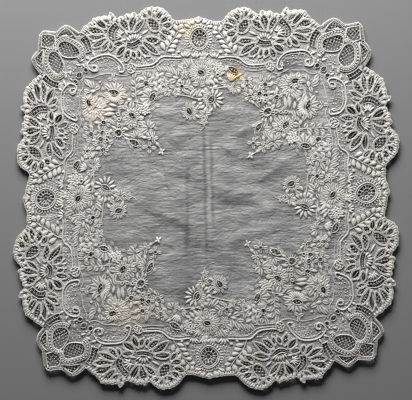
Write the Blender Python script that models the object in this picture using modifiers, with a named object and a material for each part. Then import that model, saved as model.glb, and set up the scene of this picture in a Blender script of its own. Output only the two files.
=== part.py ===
"""Square lawn handkerchief with a scalloped edge and openwork windows, lying flat.

Metres, +Z up. The cloth's underside rests on z = 0 and its box is centred on the origin.
The border is drawn once, for an eighth of the square, and mirrored and turned round it.
"""
import math
from collections import namedtuple

import bmesh
import bpy
from mathutils import Vector
from mathutils.geometry import delaunay_2d_cdt

NAME = "whitework_handkerchief"
NODE = "handkerchief_lawn"
MM = 0.001

# Driving sizes, in metres. The corners are worked furthest out, the middles of the sides less.
CLOTH_THICKNESS = 1.1 * MM
SQUARE_HALF = 191.0 * MM
SCALLOP_STEP = 4.2 * MM
WINDOW_LEAST = 4.0 * MM
LENS_FULLNESS = 0.8
BAND_STEPS = 3
CREASE_STEP = 9.0 * MM
CREASE_TAPER = 0.25
WELD = 0.00001
INSIDE_ONLY = 1

Vertex = namedtuple("Vertex", "along out rise")
Window = namedtuple("Window", "name along out length width turn points")
Band = namedtuple("Band", "name start middle end width")
Pull = namedtuple("Pull", "across up shift_x shift_y")
Drift = namedtuple("Drift", "around shift_around shift_out")
Fold = namedtuple("Fold", "start bend end height width")

# The outer edge of one eighth, from the middle of a side to the corner, in millimetres.
# Each row is a dip between two scallops, and rise is how far the scallop after it bulges.
EDGE = (
    Vertex(0.0, 210.0, 0.0),
    Vertex(5.5, 207.0, 0.9),
    Vertex(11.0, 205.4, 0.9),
    Vertex(16.0, 204.7, 1.0),
    Vertex(20.7, 204.5, 1.1),
    Vertex(26.4, 203.4, 0.9),
    Vertex(30.8, 206.0, 1.1),
    Vertex(34.4, 211.0, 1.3),
    Vertex(38.7, 215.0, 1.4),
    Vertex(43.7, 218.2, 1.5),
    Vertex(50.6, 219.2, 1.5),
    Vertex(57.5, 218.4, 1.5),
    Vertex(63.2, 216.0, 1.4),
    Vertex(67.8, 212.6, 1.0),
    Vertex(71.3, 210.2, 4.2),
    Vertex(80.7, 211.4, 2.8),
    Vertex(88.5, 209.6, 2.3),
    Vertex(96.0, 206.8, 3.2),
    Vertex(109.2, 210.2, 1.6),
    Vertex(117.3, 209.6, 1.6),
    Vertex(122.6, 208.0, 2.2),
    Vertex(128.4, 204.0, 1.4),
    Vertex(132.8, 199.7, 1.6),
    Vertex(137.8, 195.0, 0.7),
    Vertex(141.8, 189.8, 1.5),
    Vertex(158.8, 199.4, 1.1),
    Vertex(169.6, 191.2, 0.4),
    Vertex(186.4, 191.6, 0.0),
)

# Openwork windows of one eighth, in millimetres and degrees. A window as wide as WINDOW_LEAST or
# wider goes right through the cloth. Finer ones are left closed.
LENS_WINDOWS = (
    Window("lobe_slot_a", 45.0, 210.5, 9.5, 4.2, -50, 6),
    Window("lobe_slot_b", 39.5, 204.5, 10.5, 4.4, -32, 6),
    Window("lobe_slot_c", 35.5, 198.3, 10.0, 4.2, -14, 6),
    Window("lobe_slot_d", 37.5, 190.0, 10.0, 4.6, 5, 6),
    Window("lobe_slot_e", 41.5, 183.5, 8.0, 4.2, 45, 6),
    Window("palmette_petal_a", 70.0, 198.0, 15.5, 4.6, -48, 8),
    Window("palmette_petal_b", 77.5, 201.0, 18.5, 6.3, 105, 8),
    Window("palmette_petal_c", 87.5, 200.0, 17.5, 5.8, 58, 8),
    Window("shell_petal_a", 117.5, 201.0, 18.0, 5.2, 36, 8),
    Window("shell_petal_b", 123.5, 193.5, 20.0, 5.8, 15, 8),
    Window("shell_petal_c", 122.5, 186.3, 20.5, 4.3, -2, 8),
    Window("shell_petal_d", 118.0, 179.2, 18.5, 4.6, -27, 8),
    Window("shell_petal_e", 111.0, 176.0, 12.0, 4.2, -53, 6),
    Window("heart_petal_a", 55.0, 181.5, 16.0, 5.2, 7, 8),
    Window("heart_petal_b", 56.5, 172.5, 20.5, 5.8, 35, 8),
    Window("heart_petal_c", 64.0, 168.5, 14.0, 5.2, 46, 6),
    Window("heart_petal_f", 84.5, 164.5, 11.5, 4.4, -72, 6),
    Window("heart_petal_g", 92.5, 169.5, 12.5, 5.2, -40, 6),
)
OVAL_WINDOWS = (
    Window("lobe_eye", 52.5, 198.5, 16.0, 8.5, 48, 10),
    Window("corner_oval", 155.5, 170.5, 23.5, 14.5, 20, 14),
)
BAND_WINDOWS = (
    Band("shell_arc", (97.0, 200.5), (106.8, 192.5), (103.7, 183.3), 5.4),
    Band("ladder", (138.3, 184.5), (132.0, 177.0), (130.5, 169.5), 6.0),
)
# The tent-shaped window over each corner oval, and half of the square one on the corner.
TENT_WINDOW = (
    (149.0, 186.6),
    (153.5, 190.6),
    (159.0, 193.8),
    (163.8, 190.2),
    (168.0, 186.0),
    (159.0, 187.8),
)
CORNER_HALF = ((171.6, 171.6), (171.8, 179.5), (173.4, 186.4), (180.0, 187.0), (186.6, 186.6))

# Windows on the axis of each side and on each diagonal, four times round.
SIDE_EYE = Window("side_medallion", 0.0, 183.5, 20.5, 19.0, 90, 14)
CORNER_EYELET = Window("corner_eyelet", 142.3, 142.3, 5.0, 4.8, 0, 6)

# Windows in the flowers of one corner spray and one side spray, turned round the square and not
# mirrored. Along is across the cloth and out is up it, both from its middle.
FLOWER_WINDOWS = (
    Window("daisy_net", -102.3, 123.0, 12.6, 4.8, -10, 8),
    Window("rose_slit", -131.3, 109.2, 8.6, 5.4, 85, 6),
    Window("rose_net", -80.7, 95.4, 8.6, 6.2, -25, 6),
    Window("sun_net", -97.5, 76.1, 8.2, 6.4, 90, 6),
    Window("fan_net", -79.6, 64.6, 12.0, 4.8, -28, 8),
    Window("tulip_net", -56.6, 117.0, 10.6, 4.8, 72, 8),
    Window("ladder_square", -63.5, 132.0, 5.8, 5.2, 45, 6),
    Window("crown_slit", 0.2, 145.2, 7.4, 4.8, -35, 6),
    Window("aster_slit", -14.1, 99.5, 9.4, 4.8, -58, 6),
    Window("sunflower_net", 12.2, 113.0, 10.6, 4.8, 68, 8),
    Window("bell_net", 38.0, 147.1, 12.0, 5.0, -30, 8),
)

# How far the hand-made cloth is pulled out of square at its corners and at the middles of its sides.
PULLS = (
    Pull(-1, 1, 4.7, 5.1),
    Pull(0, 1, -2.8, -1.5),
    Pull(1, 1, -5.9, 5.0),
    Pull(1, 0, 1.5, -0.4),
    Pull(1, -1, -0.1, -0.6),
    Pull(0, -1, -1.6, 0.5),
    Pull(-1, -1, 0.0, -3.0),
    Pull(-1, 0, -0.7, 3.9),
)

# How far the border's work wanders from the drawn eighth along each side, in millimetres clockwise
# round the cloth and outwards. It starts at DRIFT_FROM from the middle and is whole at DRIFT_WHOLE.
TOP_DRIFTS = (
    Drift(-150, 0.0, 0.0),
    Drift(-125, 0.6, 0.0),
    Drift(-80, -1.2, 1.0),
    Drift(-52, -1.4, 2.3),
    Drift(-30, -1.2, 1.4),
    Drift(0, 0.0, 0.0),
    Drift(52, 0.2, -2.5),
    Drift(80, 0.1, -1.3),
    Drift(125, 0.2, 1.3),
    Drift(150, 0.0, 0.0),
)
RIGHT_DRIFTS = (
    Drift(-150, 0.0, 0.0),
    Drift(-125, -0.5, 1.5),
    Drift(-80, -2.1, 2.2),
    Drift(-52, -3.7, 3.4),
    Drift(-30, -3.0, 1.8),
    Drift(0, 0.0, 0.0),
    Drift(52, -0.9, -1.7),
    Drift(80, -0.4, -1.4),
    Drift(125, 0.2, 0.1),
    Drift(150, 0.0, 0.0),
)
BOTTOM_DRIFTS = (
    Drift(-150, 0.0, 0.0),
    Drift(-125, -2.7, 3.0),
    Drift(-80, -5.2, 1.6),
    Drift(-52, -6.4, 3.8),
    Drift(-30, -4.0, 2.0),
    Drift(0, 0.0, 0.0),
    Drift(52, -1.4, -1.4),
    Drift(80, -1.5, -1.0),
    Drift(125, -1.0, -0.1),
    Drift(150, 0.0, 0.0),
)
LEFT_DRIFTS = (
    Drift(-150, 0.0, 0.0),
    Drift(-125, -2.7, 1.9),
    Drift(-80, -4.3, 2.7),
    Drift(-52, -8.0, 2.0),
    Drift(-30, -4.0, 1.2),
    Drift(0, 0.0, 0.0),
    Drift(52, -0.6, -3.7),
    Drift(80, -1.5, -2.9),
    Drift(125, -1.8, -1.5),
    Drift(150, 0.0, 0.0),
)
DRIFTS = (TOP_DRIFTS, RIGHT_DRIFTS, BOTTOM_DRIFTS, LEFT_DRIFTS)
DRIFT_FROM = 130.0 * MM
DRIFT_WHOLE = 180.0 * MM

# Main soft creases of the plain middle, in millimetres from the middle of the cloth.
FOLDS = (
    Fold((-58, 99), (-42, 98), (-26, 99), 1.2, 9),
    Fold((-41, 65), (-20, 75), (-4, 81), 1.6, 10),
    Fold((-24, 30), (-22, -20), (-24, -66), 1.6, 9),
    Fold((5, 36), (7, 0), (2, -80), 1.8, 9),
    Fold((9, 62), (25, 54), (50, 54), 1.8, 9),
    Fold((9, 93), (29, 96), (62, 95), 1.3, 9),
    Fold((12, 8), (30, 3), (74, 8), 1.8, 9),
    Fold((30, -27), (56, -16), (84, -17), 1.8, 10),
    Fold((25, -52), (46, -43), (90, -33), 1.5, 10),
    Fold((1, -72), (16, -68), (30, -61), 1.3, 8),
    Fold((-65, -13), (-41, -23), (-8, -36), 1.6, 10),
)

LAWN_COLOUR = (0.70, 0.69, 0.66, 1.0)
LAWN_ROUGHNESS = 0.85


def clear_scene():
    """Remove every object, so that the script can be run again."""
    for obj in list(bpy.data.objects):
        bpy.data.objects.remove(obj, do_unlink=True)


def scaled(point):
    """Turn a point in millimetres into metres."""
    return (point[0] * MM, point[1] * MM)


def bulge(start, end, rise, steps):
    """Points of a shallow arc from start up to, but not with, end. It bulges to the left."""
    run = (end[0] - start[0], end[1] - start[1])
    length = math.hypot(*run)
    left = (-run[1] / length, run[0] / length)
    points = []
    for step in range(steps):
        share = step / steps
        lift = 4 * rise * share * (1 - share)
        x = start[0] + share * run[0] + lift * left[0]
        y = start[1] + share * run[1] + lift * left[1]
        points.append((x, y))
    return points


def edge_eighth():
    """The outer edge from the middle of a side up to the corner's last scallop, in metres."""
    points = []
    for here, after in zip(EDGE, EDGE[1:]):
        start = scaled((here.along, here.out))
        end = scaled((after.along, after.out))
        steps = max(2, round(math.dist(start, end) / SCALLOP_STEP)) if here.rise else 1
        points.extend(bulge(start, end, here.rise * MM, steps))
    points.append(scaled((EDGE[-1].along, EDGE[-1].out)))
    return points


def quarter_turned(point, quarter):
    """A point turned clockwise about the middle of the cloth by quarter turns."""
    x, y = point
    for _ in range(quarter):
        x, y = y, -x
    return (x, y)


def outer_edge():
    """The whole outer edge, clockwise from the middle of the top side."""
    eighth = edge_eighth()
    back = [(out, along) for along, out in reversed(eighth)][:-1]
    quarter_path = eighth + back
    return [quarter_turned(point, quarter) for quarter in range(4) for point in quarter_path]


def placed(points, window):
    """Points about the origin, turned and moved to the window's place, in metres."""
    turn = math.radians(window.turn)
    cos, sin = math.cos(turn), math.sin(turn)
    centre_x, centre_y = scaled((window.along, window.out))
    return [(x * cos - y * sin + centre_x, x * sin + y * cos + centre_y) for x, y in points]


def lens(window):
    """A leaf-shaped opening with a point at each end."""
    side = window.points // 2
    points = []
    for step in range(window.points):
        share = (step if step <= side else window.points - step) / side
        half_width = 0.5 * window.width * MM * max(0.0, math.sin(math.pi * share)) ** LENS_FULLNESS
        points.append(((share - 0.5) * window.length * MM, half_width if step < side else -half_width))
    return placed(points, window)


def oval(window):
    """An elliptical opening."""
    angles = [2 * math.pi * step / window.points for step in range(window.points)]
    half_length, half_width = 0.5 * window.length * MM, 0.5 * window.width * MM
    return placed([(half_length * math.cos(a), half_width * math.sin(a)) for a in angles], window)


def band(row):
    """A curved slot of even width along a smooth line through three points."""
    (ax, ay), (mx, my), (bx, by) = row.start, row.middle, row.end
    near, far = [], []
    for step in range(BAND_STEPS + 1):
        t = step / BAND_STEPS
        x = (1 - t) ** 2 * ax + 2 * t * (1 - t) * mx + t * t * bx
        y = (1 - t) ** 2 * ay + 2 * t * (1 - t) * my + t * t * by
        dx = 2 * (1 - t) * (mx - ax) + 2 * t * (bx - mx)
        dy = 2 * (1 - t) * (my - ay) + 2 * t * (by - my)
        reach = 0.5 * row.width / math.hypot(dx, dy)
        near.append(scaled((x - dy * reach, y + dx * reach)))
        far.append(scaled((x + dy * reach, y - dx * reach)))
    return near + far[::-1]


def eight_times(points):
    """Copies of an outline mirrored and turned to all eight places in the border."""
    copies = []
    for quarter in range(4):
        copies.append([quarter_turned(point, quarter) for point in points])
        copies.append([quarter_turned((-x, y), quarter) for x, y in points])
    return copies


def four_times(points):
    """Copies of an outline turned to the four sides of the cloth."""
    return [[quarter_turned(point, quarter) for point in points] for quarter in range(4)]


def window_outlines():
    """Every opening wide enough to be cut through, in metres."""
    outlines = []
    for window in LENS_WINDOWS:
        if window.width * MM >= WINDOW_LEAST:
            outlines += eight_times(lens(window))
    for window in OVAL_WINDOWS:
        outlines += eight_times(oval(window))
    for row in BAND_WINDOWS:
        outlines += eight_times(band(row))
    outlines += eight_times([scaled(point) for point in TENT_WINDOW])
    corner = list(CORNER_HALF) + [(out, along) for along, out in reversed(CORNER_HALF[1:-1])]
    outlines += four_times([scaled(point) for point in corner])
    outlines += four_times(oval(SIDE_EYE))
    outlines += four_times(oval(CORNER_EYELET))
    for window in FLOWER_WINDOWS:
        outlines += four_times(lens(window))
    return outlines


def drifted(x, y):
    """A point of the drawn border moved by the wandering of the work along its side."""
    quarter = 0
    while not (y >= abs(x)) and quarter < 4:
        x, y = -y, x
        quarter += 1
    weight = min(1.0, max(0.0, (y - DRIFT_FROM) / (DRIFT_WHOLE - DRIFT_FROM)))
    around, out = x, y
    drifts = DRIFTS[quarter % 4]
    for before, after in zip(drifts, drifts[1:]):
        share = (around / MM - before.around) / (after.around - before.around)
        if 0 <= share < 1:
            x += weight * MM * (before.shift_around + share * (after.shift_around - before.shift_around))
            y = out + weight * MM * (before.shift_out + share * (after.shift_out - before.shift_out))
    return quarter_turned((x, y), quarter)


def pulled(x, y):
    """Where a point of the drawn square lies on the real, slightly uneven cloth."""
    x, y = drifted(x, y)
    u, v = x / SQUARE_HALF, y / SQUARE_HALF
    shift_x = shift_y = 0.0
    for pull in PULLS:
        if pull.across and pull.up:
            weight = 0.25 * (1 + pull.across * u) * (1 + pull.up * v) * (pull.across * u + pull.up * v - 1)
        elif pull.up:
            weight = 0.5 * (1 - u * u) * (1 + pull.up * v)
        else:
            weight = 0.5 * (1 - v * v) * (1 + pull.across * u)
        shift_x += weight * pull.shift_x * MM
        shift_y += weight * pull.shift_y * MM
    return (x + shift_x, y + shift_y)


def nearest_on_fold(fold, x, y):
    """Distance from a point to a fold's two straight runs, and how far along it that is, 0 to 1."""
    best = (math.inf, 0.0)
    knots = [scaled(fold.start), scaled(fold.bend), scaled(fold.end)]
    for index, ((ax, ay), (bx, by)) in enumerate(zip(knots, knots[1:])):
        run_x, run_y = bx - ax, by - ay
        share = ((x - ax) * run_x + (y - ay) * run_y) / (run_x * run_x + run_y * run_y)
        share = min(1.0, max(0.0, share))
        distance = math.hypot(x - ax - share * run_x, y - ay - share * run_y)
        best = min(best, (distance, (index + share) / 2))
    return best


def crease_height(x, y):
    """How high the soft creases lift the cloth off the surface at a point."""
    height = 0.0
    for fold in FOLDS:
        distance, share = nearest_on_fold(fold, x, y)
        spread = distance / (fold.width * MM)
        if spread < 1:
            taper = min(1.0, min(share, 1 - share) / CREASE_TAPER)
            height = max(height, fold.height * MM * taper * (0.5 + 0.5 * math.cos(math.pi * spread)))
    return height


def crease_points():
    """Points along the crest and both feet of every crease, so that the sheet can bend there."""
    points = []
    for fold in FOLDS:
        knots = [scaled(fold.start), scaled(fold.bend), scaled(fold.end)]
        for (ax, ay), (bx, by) in zip(knots, knots[1:]):
            length = math.dist((ax, ay), (bx, by))
            steps = max(1, round(length / CREASE_STEP))
            aside_x, aside_y = -(by - ay) / length * fold.width * MM, (bx - ax) / length * fold.width * MM
            for step in range(steps):
                share = (step + 0.5) / steps
                x, y = ax + share * (bx - ax), ay + share * (by - ay)
                points += [(x, y), (x + aside_x, y + aside_y), (x - aside_x, y - aside_y)]
    return points


def turning(outline):
    """Twice the signed area of an outline, positive where it runs anticlockwise."""
    following = outline[1:] + outline[:1]
    return sum(ax * by - bx * ay for (ax, ay), (bx, by) in zip(outline, following))


def cloth_sheet():
    """The flat cloth as one open mesh with its windows cut out, lifted along its creases."""
    places = []
    loops = []
    for outline in [outer_edge()] + window_outlines():
        first = len(places)
        places += [pulled(*point) for point in outline]
        loop = list(range(first, len(places)))
        loops.append(loop if turning(outline) > 0 else loop[::-1])
    places += crease_points()
    flat = [Vector(place) for place in places]
    verts, _, faces, _, _, loops_round = delaunay_2d_cdt(flat, [], loops, INSIDE_ONLY, WELD)
    cloth_faces = [face for face, inside in zip(faces, loops_round) if list(inside) == [0]]
    mesh = bpy.data.meshes.new("cloth_sheet")
    mesh.from_pydata([(x, y, crease_height(x, y)) for x, y in verts], [], cloth_faces)
    sheet = bmesh.new()
    sheet.from_mesh(mesh)
    bpy.data.meshes.remove(mesh)
    loose = [vert for vert in sheet.verts if not vert.link_faces]
    bmesh.ops.delete(sheet, geom=loose, context="VERTS")
    middle_x = 0.5 * (max(v.co.x for v in sheet.verts) + min(v.co.x for v in sheet.verts))
    middle_y = 0.5 * (max(v.co.y for v in sheet.verts) + min(v.co.y for v in sheet.verts))
    bmesh.ops.translate(sheet, verts=sheet.verts, vec=(-middle_x, -middle_y, 0.0))
    return sheet


def lawn_material():
    """Plain white lawn, matt and a little grey where it is sheer."""
    material = bpy.data.materials.new("white_lawn")
    material.use_nodes = True
    shader = material.node_tree.nodes["Principled BSDF"]
    shader.inputs["Base Color"].default_value = LAWN_COLOUR
    shader.inputs["Roughness"].default_value = LAWN_ROUGHNESS
    shader.inputs["Metallic"].default_value = 0.0
    return material


def make_handkerchief(collection):
    """Build the cloth as one solid of even thickness, lying on the surface."""
    sheet = cloth_sheet()
    mesh = bpy.data.meshes.new(NODE)
    sheet.to_mesh(mesh)
    sheet.free()
    cloth = bpy.data.objects.new(NODE, mesh)
    cloth.data.materials.append(lawn_material())
    thicken = cloth.modifiers.new("thickness", "SOLIDIFY")
    thicken.thickness = CLOTH_THICKNESS
    thicken.offset = 1.0
    collection.objects.link(cloth)
    return cloth


def main():
    """Clear the scene and build the handkerchief in its own collection."""
    clear_scene()
    collection = bpy.data.collections.new(NAME)
    bpy.context.scene.collection.children.link(collection)
    make_handkerchief(collection)


main()
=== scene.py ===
"""Looks of a square whitework handkerchief of sheer lawn, lying flat.

Every stitched form is drawn on a true square, in millimetres from the cloth's middle, once for an
eighth or a quarter of it. Its copies are turned round the square and bent onto the real, slightly
uneven cloth by Cloth, in the same way as the solid was.
"""

import logging
import math
import random
from collections.abc import Callable, Iterable, Sequence
from dataclasses import dataclass, field
from enum import Enum
from typing import NamedTuple

import bmesh
import bpy
import numpy as np
from mathutils import Matrix, Vector
from mathutils.geometry import delaunay_2d_cdt


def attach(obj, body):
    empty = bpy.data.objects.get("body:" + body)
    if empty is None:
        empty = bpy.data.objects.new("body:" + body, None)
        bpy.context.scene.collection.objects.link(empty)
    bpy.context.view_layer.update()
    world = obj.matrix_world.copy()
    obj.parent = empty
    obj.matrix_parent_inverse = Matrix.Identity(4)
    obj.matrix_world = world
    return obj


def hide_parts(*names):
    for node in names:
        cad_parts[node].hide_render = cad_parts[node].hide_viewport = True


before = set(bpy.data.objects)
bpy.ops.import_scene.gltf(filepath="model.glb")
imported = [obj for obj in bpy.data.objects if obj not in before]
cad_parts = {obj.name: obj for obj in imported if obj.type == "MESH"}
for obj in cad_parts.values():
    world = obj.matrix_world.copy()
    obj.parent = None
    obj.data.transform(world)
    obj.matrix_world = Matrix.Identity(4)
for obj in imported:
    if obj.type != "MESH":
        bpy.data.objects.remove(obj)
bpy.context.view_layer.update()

LOG = logging.getLogger("handkerchief")
MM = 0.001
NODE = "handkerchief_lawn"
BODY = "root"
SEED = 11

LAWN_BOTTOM = 0.75 * MM
LAWN_THICKNESS = 0.3 * MM
ON_LAWN = 1.07 * MM
NET_HEIGHT = 1.0 * MM
# A cord's roundness, where 1 stands for six sides, and its steps from point to point.
CORD_ROUNDNESS = 1
CORD_STEPS = 3
RIM_BOTTOM = 0.3 * MM

# How far outside the larger windows their rims run, and pads keep from any window, in millimetres.
RIM_GAP = 0.8
GUARD_GAP = 0.7
# The least distance of a pad from the outer edge, and the step of the line that it is held inside.
EDGE_GAP = 0.8 * MM
EDGE_STEP = 2.0 * MM
# The height of a staggered grid's rows, as a share of its pitch.
STAGGER = 0.866

Point = tuple[float, float]


def direction(degrees: float) -> np.ndarray:
    """The flat direction at an angle, of length 1."""
    return np.array([math.cos(math.radians(degrees)), math.sin(math.radians(degrees))])


def heading(way: Sequence[float]) -> float:
    """The angle of a flat direction, in degrees."""
    return math.degrees(math.atan2(way[1], way[0]))


def turning(degrees: float) -> np.ndarray:
    """The flat transform that turns points by an angle."""
    across, up = direction(degrees)
    return np.array([[across, -up], [up, across]])


def arched(
    start: np.ndarray, bend: np.ndarray, end: np.ndarray, share: np.ndarray | float
) -> tuple[np.ndarray, np.ndarray]:
    """Places and directions along the curve from a start to an end that leans towards a bend.

    Args:
        start: The curve's first point.
        bend: The point that it leans towards.
        end: The curve's last point.
        share: How far along each place lies, from 0 to 1.

    Returns:
        The places, and the directions there, which aren't of length 1.
    """
    place = (1 - share) ** 2 * start + 2 * share * (1 - share) * bend + share**2 * end
    way = 2 * (1 - share) * (bend - start) + 2 * share * (end - bend)
    return place, way


class EdgePoint(NamedTuple):
    """A dip of the outer edge, and how far the scallop after it bulges, in millimetres."""

    along: float
    out: float
    rise: float


class Pull(NamedTuple):
    """How far a corner or the middle of a side is pulled out of square, in millimetres."""

    across: int
    up: int
    shift_x: float
    shift_y: float


class Drift(NamedTuple):
    """How far the border wanders at a place along every side, in millimetres."""

    around: float
    shift_around: float
    shift_out: float


class Fold(NamedTuple):
    """A soft crease through three points, in millimetres."""

    start: Point
    bend: Point
    end: Point
    height: float
    width: float


EDGE = (
    EdgePoint(0.0, 210.0, 0.0),
    EdgePoint(5.5, 207.0, 0.9),
    EdgePoint(11.0, 205.4, 0.9),
    EdgePoint(16.0, 204.7, 1.0),
    EdgePoint(20.7, 204.5, 1.1),
    EdgePoint(26.4, 203.4, 0.9),
    EdgePoint(30.8, 206.0, 1.1),
    EdgePoint(34.4, 211.0, 1.3),
    EdgePoint(38.7, 215.0, 1.4),
    EdgePoint(43.7, 218.2, 1.5),
    EdgePoint(50.6, 219.2, 1.5),
    EdgePoint(57.5, 218.4, 1.5),
    EdgePoint(63.2, 216.0, 1.4),
    EdgePoint(67.8, 212.6, 1.0),
    EdgePoint(71.3, 210.2, 4.2),
    EdgePoint(80.7, 211.4, 2.8),
    EdgePoint(88.5, 209.6, 2.3),
    EdgePoint(96.0, 206.8, 3.2),
    EdgePoint(109.2, 210.2, 1.6),
    EdgePoint(117.3, 209.6, 1.6),
    EdgePoint(122.6, 208.0, 2.2),
    EdgePoint(128.4, 204.0, 1.4),
    EdgePoint(132.8, 199.7, 1.6),
    EdgePoint(137.8, 195.0, 0.7),
    EdgePoint(141.8, 189.8, 1.5),
    EdgePoint(158.8, 199.4, 1.1),
    EdgePoint(169.6, 191.2, 0.4),
    EdgePoint(186.4, 191.6, 0.0),
)

PULLS = (
    Pull(-1, 1, 4.7, 5.1),
    Pull(0, 1, -2.8, -1.5),
    Pull(1, 1, -5.9, 5.0),
    Pull(1, 0, 1.5, -0.4),
    Pull(1, -1, -0.1, -0.6),
    Pull(0, -1, -1.6, 0.5),
    Pull(-1, -1, 0.0, -3.0),
    Pull(-1, 0, -0.7, 3.9),
)

# How the border drifts along each side, clockwise from the top.
TOP_DRIFTS = (
    Drift(-150, 0.0, 0.0),
    Drift(-125, 0.6, 0.0),
    Drift(-80, -1.2, 1.0),
    Drift(-52, -1.4, 2.3),
    Drift(-30, -1.2, 1.4),
    Drift(0, 0.0, 0.0),
    Drift(52, 0.2, -2.5),
    Drift(80, 0.1, -1.3),
    Drift(125, 0.2, 1.3),
    Drift(150, 0.0, 0.0),
)
RIGHT_DRIFTS = (
    Drift(-150, 0.0, 0.0),
    Drift(-125, -0.5, 1.5),
    Drift(-80, -2.1, 2.2),
    Drift(-52, -3.7, 3.4),
    Drift(-30, -3.0, 1.8),
    Drift(0, 0.0, 0.0),
    Drift(52, -0.9, -1.7),
    Drift(80, -0.4, -1.4),
    Drift(125, 0.2, 0.1),
    Drift(150, 0.0, 0.0),
)
BOTTOM_DRIFTS = (
    Drift(-150, 0.0, 0.0),
    Drift(-125, -2.7, 3.0),
    Drift(-80, -5.2, 1.6),
    Drift(-52, -6.4, 3.8),
    Drift(-30, -4.0, 2.0),
    Drift(0, 0.0, 0.0),
    Drift(52, -1.4, -1.4),
    Drift(80, -1.5, -1.0),
    Drift(125, -1.0, -0.1),
    Drift(150, 0.0, 0.0),
)
LEFT_DRIFTS = (
    Drift(-150, 0.0, 0.0),
    Drift(-125, -2.7, 1.9),
    Drift(-80, -4.3, 2.7),
    Drift(-52, -8.0, 2.0),
    Drift(-30, -4.0, 1.2),
    Drift(0, 0.0, 0.0),
    Drift(52, -0.6, -3.7),
    Drift(80, -1.5, -2.9),
    Drift(125, -1.8, -1.5),
    Drift(150, 0.0, 0.0),
)
DRIFTS = (TOP_DRIFTS, RIGHT_DRIFTS, BOTTOM_DRIFTS, LEFT_DRIFTS)

# The first eleven creases are those of the solid, the others are finer ones between them.
FOLDS = (
    Fold((-58, 99), (-42, 98), (-26, 99), 1.2, 9),
    Fold((-41, 65), (-20, 75), (-4, 81), 1.6, 10),
    Fold((-24, 30), (-22, -20), (-24, -66), 1.6, 9),
    Fold((5, 36), (7, 0), (2, -80), 1.8, 9),
    Fold((9, 62), (25, 54), (50, 54), 1.8, 9),
    Fold((9, 93), (29, 96), (62, 95), 1.3, 9),
    Fold((12, 8), (30, 3), (74, 8), 1.8, 9),
    Fold((30, -27), (56, -16), (84, -17), 1.8, 10),
    Fold((25, -52), (46, -43), (90, -33), 1.5, 10),
    Fold((1, -72), (16, -68), (30, -61), 1.3, 8),
    Fold((-65, -13), (-41, -23), (-8, -36), 1.6, 10),
    Fold((36, 72), (50, 78), (66, 82), 0.7, 5),
    Fold((14, 46), (34, 45), (54, 47), 0.7, 5),
    Fold((9, -5), (42, -7), (63, -9), 0.7, 5),
    Fold((62, 19), (80, 26), (107, 31), 0.8, 6),
    Fold((84, 34), (90, 38), (97, 43), 0.7, 5),
    Fold((-49, 53), (-46, 30), (-42, 9), 0.6, 5),
    Fold((-70, 20), (-66, 12), (-62, 4), 0.6, 5),
    Fold((-19, 56), (-20, 40), (-19, 22), 0.6, 5),
    Fold((-2, 43), (-2, 32), (-2, 22), 0.6, 5),
    Fold((62, -50), (78, -52), (92, -51), 0.7, 6),
    Fold((-80, 66), (-66, 70), (-50, 66), 0.6, 6),
    Fold((-84, -40), (-60, -48), (-38, -52), 0.7, 6),
    Fold((-60, -72), (-40, -66), (-22, -74), 0.6, 6),
    Fold((40, 110), (60, 108), (84, 112), 0.6, 6),
)


class Copies(Enum):
    """How often a drawn form comes back round the square."""

    ONCE = "once"
    SIDES = "four sides"
    EIGHTHS = "eight mirrored halves of the sides"

    def frames(self) -> list[np.ndarray]:
        """The flat transforms that carry the drawn form to each of its places.

        Returns:
            A list of 2x2 matrices, with a negative determinant where the form is mirrored.
        """
        quarter = np.array([[0.0, 1.0], [-1.0, 0.0]])
        mirror = np.diag([-1.0, 1.0])
        turns = [np.linalg.matrix_power(quarter, count) for count in range(4)]
        if self is Copies.ONCE:
            return turns[:1]
        if self is Copies.SIDES:
            return turns
        return [frame_2d @ side for frame_2d in turns for side in (np.eye(2), mirror)]


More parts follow.
